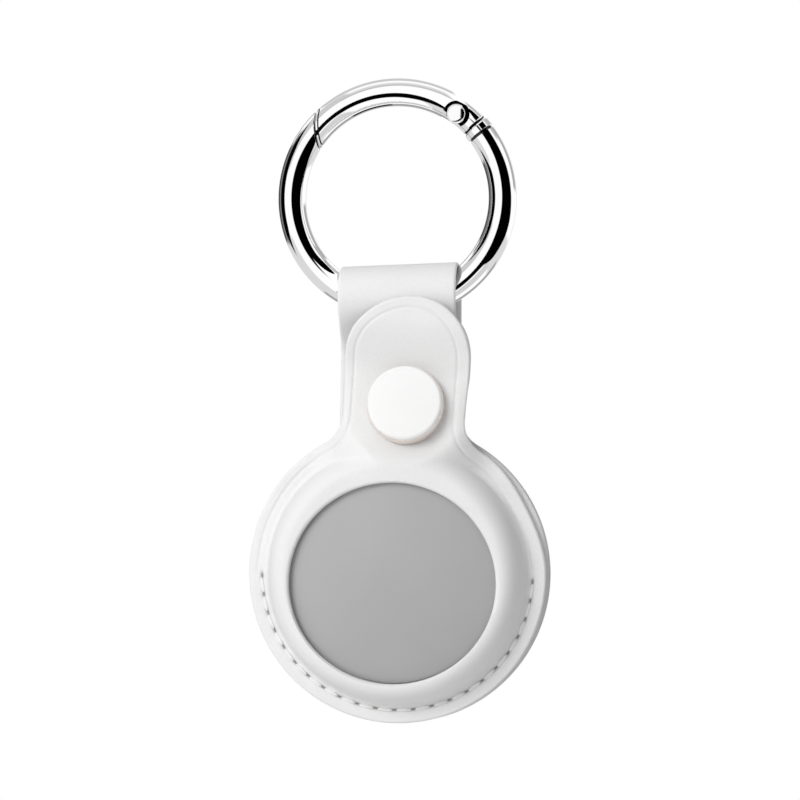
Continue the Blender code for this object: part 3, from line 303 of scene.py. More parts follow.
cloud, start, end = new_group(
    "slow_cloud",
    [("Scale", FLOAT, 120.0), ("Low", FLOAT, 0.0), ("High", FLOAT, 1.0)],
    [("Value", FLOAT)])
spot = add_node(cloud, "ShaderNodeTexCoord")
drift = add_node(cloud, "ShaderNodeTexNoise", {"Detail": 3})
stretch = add_node(cloud, "ShaderNodeMapRange", {"From Min": 0.3, "From Max": 0.7})
link(cloud, (spot, "Object", drift, "Vector"), (start, "Scale", drift, "Scale"),
     (drift, "Fac", stretch, "Value"), (start, "Low", stretch, "To Min"),
     (start, "High", stretch, "To Max"), (stretch, "Result", end, "Value"))


def clouded(name, low, high, roughness, cloud_scale, grain_values, bump, metallic=0.0):
    """A material whose colour and roughness drift slowly, under a grain of (scale, pore share)."""
    made, tree, shader = new_material(name)
    slow = add_node(tree, "ShaderNodeGroup", node_tree=cloud)
    rough = add_node(tree, "ShaderNodeGroup", node_tree=cloud)
    fine = add_node(tree, "ShaderNodeGroup", node_tree=grain)
    set_inputs(slow, {"Scale": cloud_scale})
    set_inputs(rough, {"Scale": cloud_scale * 3, "Low": roughness[0], "High": roughness[1]})
    set_inputs(fine, {"Scale": grain_values[0], "Pore Share": grain_values[1]})
    colour = add_node(tree, "ShaderNodeMix", {6: (*low, 1), 7: (*high, 1)}, data_type="RGBA")
    raised = add_node(tree, "ShaderNodeBump", {"Strength": bump, "Distance": GRAIN_DISTANCE})
    link(tree, (slow, "Value", colour, 0), (colour, 2, shader, "Base Color"),
         (rough, "Value", shader, "Roughness"), (fine, "Height", raised, "Height"),
         (raised, "Normal", shader, "Normal"))
    shader.inputs["Metallic"].default_value = metallic
    return made, tree, shader, colour


# Ring body
# Cast and chromed round wire, 3.8 mm thick round a 25 mm bore. One end is cut on a slant for the
# gate's tip, and the other has a collar and a flat tang that takes the hinge pin.
BORE_RADIUS = 0.0125
WIRE_RADIUS = 0.0019
WIRE_CENTRE = BORE_RADIUS + WIRE_RADIUS
RING_CENTRE_Z = -BORE_RADIUS
PIN_CIRCLE = 0.01397
PIN_ANGLE = math.radians(53.8)
SEAM_ANGLE = math.radians(42.3)
NOTCH_ANGLE = math.radians(61.6)
LATCH_OUTER = math.radians(132.5)
LATCH_INNER = math.radians(147.5)
LATCH_MIDDLE = (LATCH_OUTER + LATCH_INNER) / 2
SEAM_GAP = 0.0003
COLLAR_LENGTH = 0.0010
GROOVE = 0.00018
TANG_THICKNESS = 0.0011
TANG_EYE = 0.00135
PIN_SHAFT = 0.0007
PIN_CLEARANCE = 0.00006
RING_SIDES = 72
# Painted shade in the grooves and cut faces starts and is full at these depths under the wire's skin.
GROOVE_SHADE_START = GROOVE * 0.4
GROOVE_SHADE_FULL = GROOVE * 0.9
GROOVE_SHADE_COLOUR = (0.05, 0.05, 0.05, 1)

chrome, tree, shader, colour = clouded(
    "polished_chrome", (0.93, 0.93, 0.935), (0.96, 0.96, 0.965), (0.012, 0.030), 90,
    (900, 0.0), 0.006, 1.0)


# Painted shade: the grooves and the cut faces that lie under the wire's round skin get a near black colour
# in place of the shade that falls in them.
spot = add_node(tree, "ShaderNodeTexCoord")
place = add_node(tree, "ShaderNodeSeparateXYZ")
upward = add_math("SUBTRACT", place.outputs["Z"], RING_CENTRE_Z)
from_axis = add_math("SQRT", add_math("ADD", add_math("POWER", place.outputs["X"], 2),
                                      add_math("POWER", upward, 2)))
off_line = add_math("SUBTRACT", from_axis, WIRE_CENTRE)
depth = add_math("SQRT", add_math("ADD", add_math("POWER", off_line, 2),
                                  add_math("POWER", place.outputs["Y"], 2)))
sunk = add_node(tree, "ShaderNodeMapRange", {"From Min": WIRE_RADIUS - GROOVE_SHADE_START,
                                             "From Max": WIRE_RADIUS - GROOVE_SHADE_FULL})
# Mixes the chrome towards the near black of the painted groove shade.
groove_shade = add_node(tree, "ShaderNodeMix", {7: GROOVE_SHADE_COLOUR}, data_type="RGBA")
tree.links.new(depth, sunk.inputs["Value"])
link(tree, (spot, "Object", place, "Vector"), (sunk, "Result", groove_shade, 0), (colour, 2, groove_shade, 6),
     (groove_shade, 2, shader, "Base Color"))


def ring_point(radius, angle, y=0.0):
    return Vector((radius * math.cos(angle), y, RING_CENTRE_Z + radius * math.sin(angle)))


def latch_turn(radius):
    """Angle of the slanted latch cut at a radius, counted from its middle."""
    share = (WIRE_CENTRE + WIRE_RADIUS - radius) / (2 * WIRE_RADIUS)
    return LATCH_OUTER + (LATCH_INNER - LATCH_OUTER) * share - LATCH_MIDDLE


def finished(name, body):
    bmesh.ops.remove_doubles(body, verts=body.verts, dist=1e-7)
    bmesh.ops.recalc_face_normals(body, faces=body.faces)
    if body.calc_volume(signed=True) < 0:
        bmesh.ops.reverse_faces(body, faces=body.faces)
    mesh = bpy.data.meshes.new(name)
    body.to_mesh(mesh)
    body.free()
    return mesh


def new_piece(name, mesh, finish, sharp_degrees=40):
    mesh.materials.append(finish)
    mesh.shade_smooth()
    mesh.set_sharp_from_angle(angle=math.radians(sharp_degrees))
    return add_object(name, mesh)


def skin(body, rings):
    """Closes a body over rings of equal length and caps both ends."""
    total = len(rings[0])
    for near, far in zip(rings, rings[1:]):
        for k in range(total):
            n = (k + 1) % total
            body.faces.new((near[k], near[n], far[n], far[k]))
    body.faces.new(list(reversed(rings[0])))
    body.faces.new(rings[-1])


def wire_mesh(name, stations):
    """Sweeps the round wire through (angle, wire radius, slant) stations and caps both ends."""
    body = bmesh.new()
    rows = []
    for angle, wire_radius, slant in stations:
        row = []
        for k in range(RING_SIDES):
            turn = math.tau * k / RING_SIDES
            radius = WIRE_CENTRE + wire_radius * math.cos(turn)
            place = ring_point(radius, angle + slant * latch_turn(radius), wire_radius * math.sin(turn))
            row.append(body.verts.new(place))
        rows.append(row)
    skin(body, rows)
    return finished(name, body)


def latch_stations(side):
    """Stations from the latch cut into the wire: chamfer, lip, fine groove, then the slant fades."""
    chamfer = 0.00006
    marks = [(0, WIRE_RADIUS - chamfer), (chamfer, WIRE_RADIUS)]
    if side < 0:
        lip = 0.00036
        marks += [(lip, WIRE_RADIUS), (lip + GROOVE / 2, WIRE_RADIUS - GROOVE),
                  (lip + GROOVE, WIRE_RADIUS - GROOVE), (lip + GROOVE * 3 / 2, WIRE_RADIUS)]
    stations = []
    for distance, wire_radius in marks:
        angle = LATCH_MIDDLE + side * (SEAM_GAP / 2 + distance) / WIRE_CENTRE
        stations.append((angle, wire_radius, 1))
    fade_steps = 24
    fade = math.radians(14)
    first = stations[-1][0]
    for k in range(1, fade_steps + 1):
        share = k / fade_steps
        stations.append((first + side * fade * share, WIRE_RADIUS, 1 - share * share * (3 - 2 * share)))
    return stations


def to_end(stations, end, steps):
    first = stations[-1][0]
    return stations + [(first + (end - first) * k / steps, WIRE_RADIUS, 0) for k in range(1, steps + 1)]


def collar_stations(shoulder, side):
    """Collar with a fine groove behind it and chamfered edges."""
    collar = shoulder - side * COLLAR_LENGTH / WIRE_CENTRE
    step = side * GROOVE / WIRE_CENTRE
    proud = WIRE_RADIUS + GROOVE / 3
    return [(collar - 2.4 * step, WIRE_RADIUS, 0), (collar - 1.7 * step, WIRE_RADIUS - GROOVE, 0),
            (collar - 0.7 * step, WIRE_RADIUS - GROOVE, 0), (collar, proud, 0),
            (shoulder - step, proud, 0), (shoulder, WIRE_RADIUS - GROOVE / 2, 0)]


def prism(name, outline, front, back):
    body = bmesh.new()
    near = [body.verts.new((x, front, z)) for x, z in outline]
    far = [body.verts.new((x, back, z)) for x, z in outline]
    body.faces.new(near)
    body.faces.new(list(reversed(far)))
    for k in range(len(outline)):
        n = (k + 1) % len(outline)
        body.faces.new((near[n], near[k], far[k], far[n]))
    return finished(name, body)


def cut_with(target, mesh, operation):
    """A Boolean with a throwaway cutter, applied at once."""
    cutter = add_object("cutter", mesh)
    modifier = target.modifiers.new("cut", "BOOLEAN")
    modifier.operation = operation
    modifier.solver = "EXACT"
    modifier.object = cutter
    bpy.context.view_layer.update()
    evaluated = target.evaluated_get(bpy.context.evaluated_depsgraph_get())
    made = bpy.data.meshes.new_from_object(evaluated)
    target.modifiers.remove(modifier)
    old = target.data
    target.data = made
    made.name = old.name
    bpy.data.objects.remove(cutter)


def turned(name, profile, matrix, segments=128):
    """Turns (radius, depth) points about the Y axis of a matrix."""
    body = bmesh.new()
    rings = []
    for radius, depth in profile:
        if radius == 0:
            rings.append([body.verts.new(matrix @ Vector((0, depth, 0)))])
            continue
        rings.append([body.verts.new(matrix @ Vector((radius * math.cos(math.tau * k / segments), depth,
                                                      radius * math.sin(math.tau * k / segments))))
                      for k in range(segments)])
    closed = profile[0][0] != 0
    for i in range(len(rings) if closed else len(rings) - 1):
        near = rings[i]
        far = rings[(i + 1) % len(rings)]
        for k in range(segments):
            n = (k + 1) % segments
            if len(near) == 1:
                body.faces.new((near[0], far[k], far[n]))
            elif len(far) == 1:
                body.faces.new((near[k], far[0], near[n]))
            else:
                body.faces.new((near[k], far[k], far[n], near[n]))
    return finished(name, body)


def rod(name, start, end, radius, segments=64):
    along = end - start
    turn = Vector((0, 1, 0)).rotation_difference(along).to_matrix().to_4x4()
    profile = [(0, 0), (radius, 0), (radius, along.length), (0, along.length)]
    return turned(name, profile, Matrix.Translation(start) @ turn, segments)


def pin_centre(y=0.0):
    return ring_point(PIN_CIRCLE, PIN_ANGLE, y)


def pin_hole():
    """A cutter for the pin, longer than the wire is thick."""
    return rod("hole", pin_centre(-0.003), pin_centre(0.003), PIN_SHAFT + PIN_CLEARANCE)


def tang_outline():
    pin = pin_centre()
    root = ring_point(WIRE_CENTRE, SEAM_ANGLE - COLLAR_LENGTH / WIRE_CENTRE)
    along = (pin - root).normalized()
    side = Vector((-along.z, 0, along.x))
    points = []
    steps = 32
    for k in range(steps + 1):
        turn = math.pi / 2 - math.pi * k / steps
        points.append(pin + along * (TANG_EYE * math.cos(turn)) + side * (TANG_EYE * math.sin(turn)))
    points.append(root - side * TANG_EYE)
    points.append(root + side * TANG_EYE)
    return [(point.x, point.z) for point in points]


shoulder = SEAM_ANGLE - SEAM_GAP / 2 / WIRE_CENTRE + math.tau
stations = to_end(latch_stations(1), shoulder - COLLAR_LENGTH / WIRE_CENTRE - math.radians(2), 200)
stations += collar_stations(shoulder, 1)
ring_body = new_piece("ring_body_finish", wire_mesh("ring_body_finish", stations), chrome)
cut_with(ring_body, prism("tang", tang_outline(), -TANG_THICKNESS / 2, TANG_THICKNESS / 2), "UNION")
cut_with(ring_body, pin_hole(), "DIFFERENCE")
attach(ring_body, "ring")
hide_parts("ring_body")

# Gate
# The top arc of the ring, cast hollow and chromed. Its tip meets the ring on a slant, and its fork
# straddles the tang and is spot faced for the rivet's heads.
SLOT_WIDTH = 0.0015
SPOT_FACE_RADIUS = 0.00179
SPOT_FACE_DEPTH = 0.00145
GATE_BORE_RADIUS = 0.0008
GATE_BORE_LENGTH = 0.0047

gate_end = SEAM_ANGLE + SEAM_GAP / 2 / WIRE_CENTRE
gate_rows = to_end(latch_stations(-1), gate_end + GROOVE / 2 / WIRE_CENTRE, 110)
gate_rows.append((gate_end, WIRE_RADIUS - GROOVE / 2, 0))
gate = new_piece("gate_finish", wire_mesh("gate_finish", gate_rows), chrome)
tangent = Vector((-math.sin(NOTCH_ANGLE), 0, math.cos(NOTCH_ANGLE)))
across = Vector((-tangent.z, 0, tangent.x))
slot_floor = ring_point(WIRE_CENTRE, NOTCH_ANGLE)
slot_far = slot_floor - tangent * (PIN_CIRCLE * (NOTCH_ANGLE - SEAM_ANGLE) + 0.003)
slot_outline = []
for centre, sign in ((slot_floor, -1), (slot_floor, 1), (slot_far, 1), (slot_far, -1)):
    corner = centre + across * (sign * 2 * WIRE_RADIUS)
    slot_outline.append((corner.x, corner.z))
cut_with(gate, prism("slot", slot_outline, -SLOT_WIDTH / 2, SLOT_WIDTH / 2), "DIFFERENCE")
for sign in (-1, 1):
    lean_out = Vector((0.00016, sign * 0.0016, -0.0001))
    floor_spot = pin_centre(sign * SPOT_FACE_DEPTH)
    cut_with(gate, rod("spot_face", floor_spot, floor_spot + lean_out, SPOT_FACE_RADIUS), "DIFFERENCE")
cut_with(gate, pin_hole(), "DIFFERENCE")
cut_with(gate, rod("bore", slot_floor - tangent * WIRE_RADIUS, slot_floor + tangent * GATE_BORE_LENGTH,
                   GATE_BORE_RADIUS), "DIFFERENCE")
for made in (ring_body, gate):
    made.data.set_sharp_from_angle(angle=math.radians(32))
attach(gate, "gate")
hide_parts("gate")

# Hinge pin
# A steel rivet, chromed with the gate, with a low domed head on each side.
PIN_HEAD_RADIUS = 0.00132
PIN_HEAD_INNER = 0.00148
PIN_HEAD_HEIGHT = 0.00045
head = []
dome_steps = 10
for k in range(dome_steps + 1):
    turn = math.pi / 2 * k / dome_steps
    head.append((PIN_HEAD_RADIUS * 0.86 * math.sin(turn),
                 PIN_HEAD_INNER + PIN_HEAD_HEIGHT * (0.80 + 0.20 * math.cos(turn))))
head += [(PIN_HEAD_RADIUS * 0.88, PIN_HEAD_INNER + PIN_HEAD_HEIGHT * 0.60),
         (PIN_HEAD_RADIUS * 0.92, PIN_HEAD_INNER + PIN_HEAD_HEIGHT * 0.60),
         (PIN_HEAD_RADIUS * 0.95, PIN_HEAD_INNER + PIN_HEAD_HEIGHT * 0.70),
         (PIN_HEAD_RADIUS, PIN_HEAD_INNER + PIN_HEAD_HEIGHT * 0.62),
         (PIN_HEAD_RADIUS, PIN_HEAD_INNER), (PIN_SHAFT, PIN_HEAD_INNER)]
profile = [(radius, -depth) for radius, depth in head]
profile += [(radius, depth) for radius, depth in reversed(head)]
rivet, tree, shader, colour = clouded(
    "polished_rivet", (0.90, 0.90, 0.905), (0.94, 0.94, 0.945), (0.02, 0.05), 90,
    (900, 0.0), 0.01, 1.0)
pin = new_piece("hinge_pin_finish", turned("hinge_pin_finish", profile, Matrix.Translation(pin_centre())),
                rivet, 35)
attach(pin, "gate")
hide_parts("hinge_pin")

# Leather
# White coated leather with a fine tight grain, 1.3 mm thick, its cut edges painted white. A mark
# on its points paints shade into it: dark in the needle holes, faint along the pressed line that
# follows its edges, and along the back panel's cut sides.
HOLDER_DROP = 0.0510
BODY_Z = RING_CENTRE_Z - HOLDER_DROP
BODY_RADIUS = 0.0203
PANEL = 0.0013
TOUCH_GAP = 0.0003
PARTING_Y = 0.0009
SHOULDER_FILLET = 0.0050
STRAP_HALF = 0.0080
STRAP = 0.0009
STRAP_ROOT = 0.0180
STITCH_RADIUS = 0.0185
STITCH_COUNT = 22
FIRST_HOLE = math.radians(181)
LAST_HOLE = math.radians(357)
EDGE_ROUND = 0.00035
CREASE_INSET = 0.00145
CREASE_DEPTH = 0.00012
CREASE_WIDTH = 0.00018
CHANNEL_WIDTH = 0.0005
# Dark grey of the painted shade in the needle holes, along the pressed line and on the back panel's cut
# sides.
PAINTED_SHADE_COLOUR = (0.16, 0.155, 0.15, 1)
PORE_TINT = 0.05
REAR_MIDDLE_Y = PARTING_Y + TOUCH_GAP / 2 + PANEL / 2
FLANGE_Y = PARTING_Y - TOUCH_GAP / 2 - PANEL

leather, tree, shader, colour = clouded(
    "white_leather", (0.835, 0.835, 0.835), (0.875, 0.875, 0.872), (0.46, 0.60), 70,
    (3200, 0.35), 0.09)
fine = [item for item in tree.nodes if item.type == "GROUP" and item.node_tree == grain][0]
marks = add_node(tree, "ShaderNodeAttribute", attribute_name="mark")
# Painted shade: the mark mixes the leather's colour towards the dark grey.
painted_shade = add_node(tree, "ShaderNodeMix", {7: PAINTED_SHADE_COLOUR}, data_type="RGBA")
pore_tint = add_node(tree, "ShaderNodeMix", {0: PORE_TINT}, data_type="RGBA", blend_type="MULTIPLY")
link(tree, (marks, "Fac", painted_shade, 0), (colour, 2, painted_shade, 6), (painted_shade, 2, pore_tint, 6),
     (fine, "Pores", pore_tint, 7), (pore_tint, 2, shader, "Base Color"))
shader.inputs["Specular IOR Level"].default_value = 0.35


def smooth_step(value):
    held = np.clip(value, 0, 1)
    return held * held * (3 - 2 * held)


def neck_fillet(half_width):
    reach = BODY_RADIUS + SHOULDER_FILLET
    return math.sqrt(reach ** 2 - (half_width + SHOULDER_FILLET) ** 2)


def stitch_holes():
    turns = np.linspace(FIRST_HOLE, LAST_HOLE, STITCH_COUNT + 1)
    return STITCH_RADIUS * np.stack([np.cos(turns), np.sin(turns)], 1)


SLIT_LENGTH = 0.00046
SLIT_WIDTH = 0.00016


def slits(x, z, spread):
    """1 at the middle of each needle hole, a slit that lies along the row, and 0 away from it."""
    best = np.zeros(x.shape)
    for px, pz in stitch_holes():
        reach = math.hypot(px, pz)
        along = (-(x - px) * pz + (z - pz) * px) / reach
        across = ((x - px) * px + (z - pz) * pz) / reach
        level = np.exp(-(along / (SLIT_LENGTH * spread)) ** 2 - (across / (SLIT_WIDTH * spread)) ** 2)
        best = np.maximum(best, level)
    return best


def edge_distance(x, z, outline):
    """Distance from each (x, z) to a closed outline of short straight pieces."""
    best = np.full(x.shape, np.inf)
    ends = np.roll(outline, -1, axis=0)
    for (ax, az), (bx, bz) in zip(outline, ends):
        dx, dz = bx - ax, bz - az
        length = dx * dx + dz * dz
        if length == 0:
            continue
        t = np.clip(((x - ax) * dx + (z - az) * dz) / length, 0, 1)
        best = np.minimum(best, np.hypot(x - ax - t * dx, z - az - t * dz))
    return best


def rounded_edge(distance):
    """How far the surface falls back near a cut edge."""
    inside = np.clip(EDGE_ROUND - distance, 0, EDGE_ROUND)
    return EDGE_ROUND - np.sqrt(EDGE_ROUND ** 2 - inside ** 2)


# Back panel with strap
# One length of leather: the rear panel with a shallow moulding for the tag's back, then the strap
# that rises, folds over the ring and comes down in front, where the press stud goes through it.
REAR_BULGE = 0.0020
REAR_FLAT = 0.0130
REAR_BULGE_RADIUS = 0.0176
LEAF_MEET_DROP = 0.0090
LEAF_TAIL = 0.0172
LEAF_AIM = 0.0041
LOOP_MIDDLE = 0.00366
LOOP_STRAP = 0.0006
REAR_SHIFT = 0.00045
LOOP_SHIFT = 0.0004
TAIL_SHIFT = 0.0001
LOOP_TILT = math.radians(2)
LOOP_SLACK = 0.00032
LOOP_START = math.radians(-5)
LOOP_END = math.radians(185)
REAR_DENT = 0.00022
REAR_CHANNEL = 0.00006
EDGE_SHADE = 0.35
EDGE_SHADE_WIDTH = 0.0003
ROUND_TOP = 0.014
lowest = -(WIRE_CENTRE + WIRE_RADIUS)
highest = -math.sqrt(BORE_RADIUS ** 2 - STRAP_HALF ** 2)
LOOP_Z = RING_CENTRE_Z + (lowest + highest) / 2
ROOT = Vector((0, REAR_MIDDLE_Y, BODY_Z + STRAP_ROOT))
root_offset = ROOT - Vector((0, 0, LOOP_Z))
TANGENT_TURN = (math.atan2(root_offset.z, root_offset.y)
                + math.acos(LEAF_AIM / math.hypot(root_offset.y, root_offset.z)))


def loop_point(turn, radius):
    return Vector((0, (radius + LOOP_SLACK) * math.cos(turn), LOOP_Z + radius * math.sin(turn)))


LEAF_UP = (loop_point(TANGENT_TURN, LEAF_AIM) - ROOT).normalized()
LEAF_FRONT = Vector((0, -LEAF_UP.z, LEAF_UP.y))
LEAF_PITCH = PANEL / 2 + TOUCH_GAP + STRAP / 2


def rear_half(height):
    fillet_z = neck_fillet(STRAP_HALF)
    tangent_z = fillet_z * BODY_RADIUS / (BODY_RADIUS + SHOULDER_FILLET)
    if height < tangent_z:
        return math.sqrt(max(BODY_RADIUS ** 2 - height ** 2, 0))
    if height < fillet_z:
        return STRAP_HALF + SHOULDER_FILLET - math.sqrt(SHOULDER_FILLET ** 2 - (fillet_z - height) ** 2)
    return STRAP_HALF


def bend(start, heading, finish, arrival, steps):
    """Points of a smooth bend between two places and directions."""
    reach = (finish - start).length
    points = []
    for k in range(1, steps + 1):
        t = k / steps
        place = start * (2 * t ** 3 - 3 * t ** 2 + 1) + heading * (reach * (t ** 3 - 2 * t ** 2 + t))
        points.append(place + finish * (3 * t ** 2 - 2 * t ** 3) + arrival * (reach * (t ** 3 - t ** 2)))
    return points


def loop_heading(turn):
    return Vector((0, -math.sin(turn), math.cos(turn)))


def strap_route():
    """(point, half width, thickness, shift, tilt) along the leather, from its lowest edge up."""
    rows = []
    rise_steps = 150
    for k in range(rise_steps + 1):
        height = BODY_RADIUS * math.cos(math.acos(-0.9998) * (1 - k / rise_steps))
        if height > STRAP_ROOT:
            break
        place = Vector((0, REAR_MIDDLE_Y, BODY_Z + height))
        rows.append((place, rear_half(height), PANEL, REAR_SHIFT, 0))
    meet_z = LOOP_Z - LEAF_MEET_DROP
    straight = LEAF_UP * ((meet_z - ROOT.z) / LEAF_UP.z)
    straight_steps = 36
    for k in range(straight_steps + 1):
        share = k / straight_steps
        place = ROOT + straight * share
        thickness = PANEL + (STRAP - PANEL) * float(smooth_step(2 * share - 1))
        rows.append((place, rear_half(place.z - BODY_Z), thickness, REAR_SHIFT, 0))
    loop_foot = loop_point(LOOP_START, LOOP_MIDDLE)
    rise = bend(rows[-1][0], LEAF_UP, loop_foot, loop_heading(LOOP_START), 30)
    for k, place in enumerate(rise):
        share = float(smooth_step((k + 1) / len(rise)))
        thickness = STRAP + (LOOP_STRAP - STRAP) * share
        shift = REAR_SHIFT + (LOOP_SHIFT - REAR_SHIFT) * share
        rows.append((place, STRAP_HALF, thickness, shift, LOOP_TILT * share))
    loop_steps = 56
    for k in range(1, loop_steps + 1):
        turn = LOOP_START + (LOOP_END - LOOP_START) * k / loop_steps
        rows.append((loop_point(turn, LOOP_MIDDLE), STRAP_HALF, LOOP_STRAP, LOOP_SHIFT, LOOP_TILT))
    meet = ROOT + straight + LEAF_FRONT * LEAF_PITCH
    fall = bend(rows[-1][0], loop_heading(LOOP_END), meet, -LEAF_UP, 40)
    for k, place in enumerate(fall):
        share = float(smooth_step((k + 1) / len(fall)))
        thickness = LOOP_STRAP + (STRAP - LOOP_STRAP) * share
        shift = LOOP_SHIFT + (TAIL_SHIFT - LOOP_SHIFT) * share
        rows.append((place, STRAP_HALF, thickness, shift, LOOP_TILT * (1 - share / 2)))
    tail = meet + LEAF_UP * ((BODY_Z + LEAF_TAIL - meet.z) / LEAF_UP.z)
    tail_steps = 30
    for k in range(1, tail_steps + 1):
        share = k / tail_steps
        rows.append((meet + (tail - meet) * share, STRAP_HALF, STRAP, TAIL_SHIFT, LOOP_TILT / 2))
    return rows


def strap_mesh():
    """Cross sections with rounded sides, joined along the route."""
    route = strap_route()
    columns = 64
    body = bmesh.new()
    rings = []
    marks = []
    for index, (place, half_width, thickness, shift, tilt) in enumerate(route):
        ahead = route[min(index + 1, len(route) - 1)][0]
        behind = route[max(index - 1, 0)][0]
        along = (ahead - behind).normalized()
        outward = Vector((0, along.z, -along.y))
        on_body = place.z < BODY_Z + STRAP_ROOT and index < len(route) / 2
        x = half_width * np.sin(math.pi * (np.arange(columns + 1) / columns - 0.5))
        z = np.full(x.shape, place.z - BODY_Z)
        from_tag = np.hypot(x + shift, z)
        lift = np.zeros(x.shape)
        dent = np.zeros(x.shape)
        mark = np.zeros(x.shape)
        edge_mark = mark
        side_gap = half_width - np.abs(x)
        if on_body:
            # Painted shade on the back panel's cut sides, which lie in the shadow behind the front panel.
            edge_mark = EDGE_SHADE * np.exp(-(side_gap / EDGE_SHADE_WIDTH) ** 2)
            bulge_edge = (REAR_BULGE_RADIUS - from_tag) / (REAR_BULGE_RADIUS - REAR_FLAT)
            lift = REAR_BULGE * smooth_step(bulge_edge)
            # Painted shade in the needle holes.
            mark = slits(x + shift, z, 1.2)
            dent = REAR_DENT * slits(x + shift, z, 1.6)
            dent += REAR_CHANNEL * np.exp(-((from_tag - STITCH_RADIUS) / CHANNEL_WIDTH) ** 2) * (z < 0)
            if place.z < BODY_Z + ROUND_TOP:
                side_gap = np.minimum(side_gap, BODY_RADIUS - np.hypot(x, z))
        side_gap = np.maximum(side_gap, 0)
        groove = CREASE_DEPTH * np.exp(-((side_gap - CREASE_INSET) / CREASE_WIDTH) ** 2)
        if not BODY_Z < place.z < BODY_Z + STRAP_ROOT or not on_body:
            groove = groove * 0
        fall = np.minimum(rounded_edge(side_gap), thickness * 0.35)
        near = thickness / 2 - fall
        far = thickness / 2 - fall - groove - dent
        across = Vector((math.cos(tilt), 0, math.sin(tilt)))
        middle = [place + Vector((shift, lift[k], 0)) + across * x[k] for k in range(columns + 1)]
        ring = [(middle[k] + outward * far[k], mark[k]) for k in range(columns + 1)]
        ring += [(middle[k] - outward * near[k], edge_mark[k]) for k in range(columns, -1, -1)]
        rings.append([body.verts.new(point) for point, value in ring])
        marks += [value for point, value in ring]
    skin(body, rings)
    layer = body.verts.layers.float.new("mark")
    body.verts.ensure_lookup_table()
    for index, value in enumerate(marks):
        body.verts[index][layer] = float(value)
    return finished("back_leather", body)


back_leather = new_piece("back_leather", strap_mesh(), leather, 50)
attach(back_leather, "holder")
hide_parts("back_panel")

# Front leather
# One moulded piece: the dome round the window, the flange that is sewn along its lower half, and
# the tongue that closes the pocket.
NECK_HALF = 0.0084
TONGUE_HALF = 0.0085
TIP_SKEW = 0.0006
TONGUE_HEIGHT = 0.0377
TONGUE_LEAN = math.radians(3.7)
WINDOW_HALF_WIDTH = 0.0140
WINDOW_HALF_HEIGHT = 0.01355
WINDOW_DROP = 0.00105
DOME_FRONT_Y = -0.0062
DOME_TOP = 0.0145
DOME_WALL = 0.0030
SHOULDER_START = DOME_TOP * 0.85
TONGUE_START = DOME_TOP * 0.62
TONGUE_RISE = DOME_TOP * 0.34
RIM_CROWDING = 2.2
RIM_WIDTH = 0.0016
EDGE_PULL = 0.0005
CREASE_DRIFT = 0.00022
CHANNEL_DEPTH = 0.00010
HOLE_DENT = 0.00030
WINDOW_SKIVE = 0.00055
WINDOW_SKIVE_WIDTH = 0.0018
FINE_MARGIN = 0.03
DOME_FILLET = 0.0006
DOME_SWEEP = math.radians(80)
SNAP_HEIGHT = 0.02225
SNAP_STACK = 0.0033
SOCKET_MOUTH = 0.00135
CAP_RADIUS = 0.0053
CAP_TILT = math.radians(12)
SNAP_X = SNAP_HEIGHT * math.sin(TONGUE_LEAN)
SNAP_Z = BODY_Z + SNAP_HEIGHT * math.cos(TONGUE_LEAN)
SNAP_TILT = math.atan2(LEAF_UP.y, LEAF_UP.z)
snap_spot = ROOT + LEAF_UP * ((SNAP_Z - ROOT.z) / LEAF_UP.z) + LEAF_FRONT * (LEAF_PITCH + STRAP / 2)
SNAP_SPOT = Vector((SNAP_X, snap_spot.y, snap_spot.z))
CAP_AXIS = Vector((0, -math.cos(CAP_TILT), math.sin(CAP_TILT)))
CAP_SLIP = Vector((0.0003, 0, -0.0005))
CAP_SPOT = SNAP_SPOT + LEAF_FRONT * SOCKET_MOUTH - CAP_AXIS * SOCKET_MOUTH + CAP_SLIP
CAP_HOLE = 0.00112


def cap_matrix():
    """The cap and the socket tilt a little on the stud, so the cap's face looks up."""
    return Matrix.Translation(CAP_SPOT) @ Matrix.Rotation(-CAP_TILT, 4, "X")


at_snap = CAP_SPOT + CAP_AXIS * (SNAP_STACK + PANEL)
snap_slope = math.tan(SNAP_TILT) * 0.8
snap_flat = CAP_RADIUS * 0.7
TIP_SLOPE = -0.08
cap_height = at_snap.z - BODY_Z
tip_y = -(LOOP_MIDDLE + LOOP_STRAP / 2 + TOUCH_GAP + PANEL)
TONGUE_MARKS = [
    (DOME_TOP, DOME_FRONT_Y, 0),
    (cap_height - snap_flat, at_snap.y - snap_flat * snap_slope, snap_slope),
    (cap_height + snap_flat, at_snap.y + snap_flat * snap_slope, snap_slope),
    (LOOP_Z - BODY_Z - LOOP_MIDDLE, tip_y, TIP_SLOPE),
]


def tongue_y(height):
    value = np.where(height > TONGUE_MARKS[-1][0], TONGUE_MARKS[-1][1], TONGUE_MARKS[0][1])
    for (low, low_y, low_slope), (high, high_y, high_slope) in zip(TONGUE_MARKS, TONGUE_MARKS[1:]):
        span = high - low
        t = np.clip((height - low) / span, 0, 1)
        line = low_y * (2 * t ** 3 - 3 * t ** 2 + 1) + high_y * (3 * t ** 2 - 2 * t ** 3)
        line += span * (low_slope * (t ** 3 - 2 * t ** 2 + t) + high_slope * (t ** 3 - t ** 2))
        value = np.where((height > low) & (height <= high), line, value)
    return value


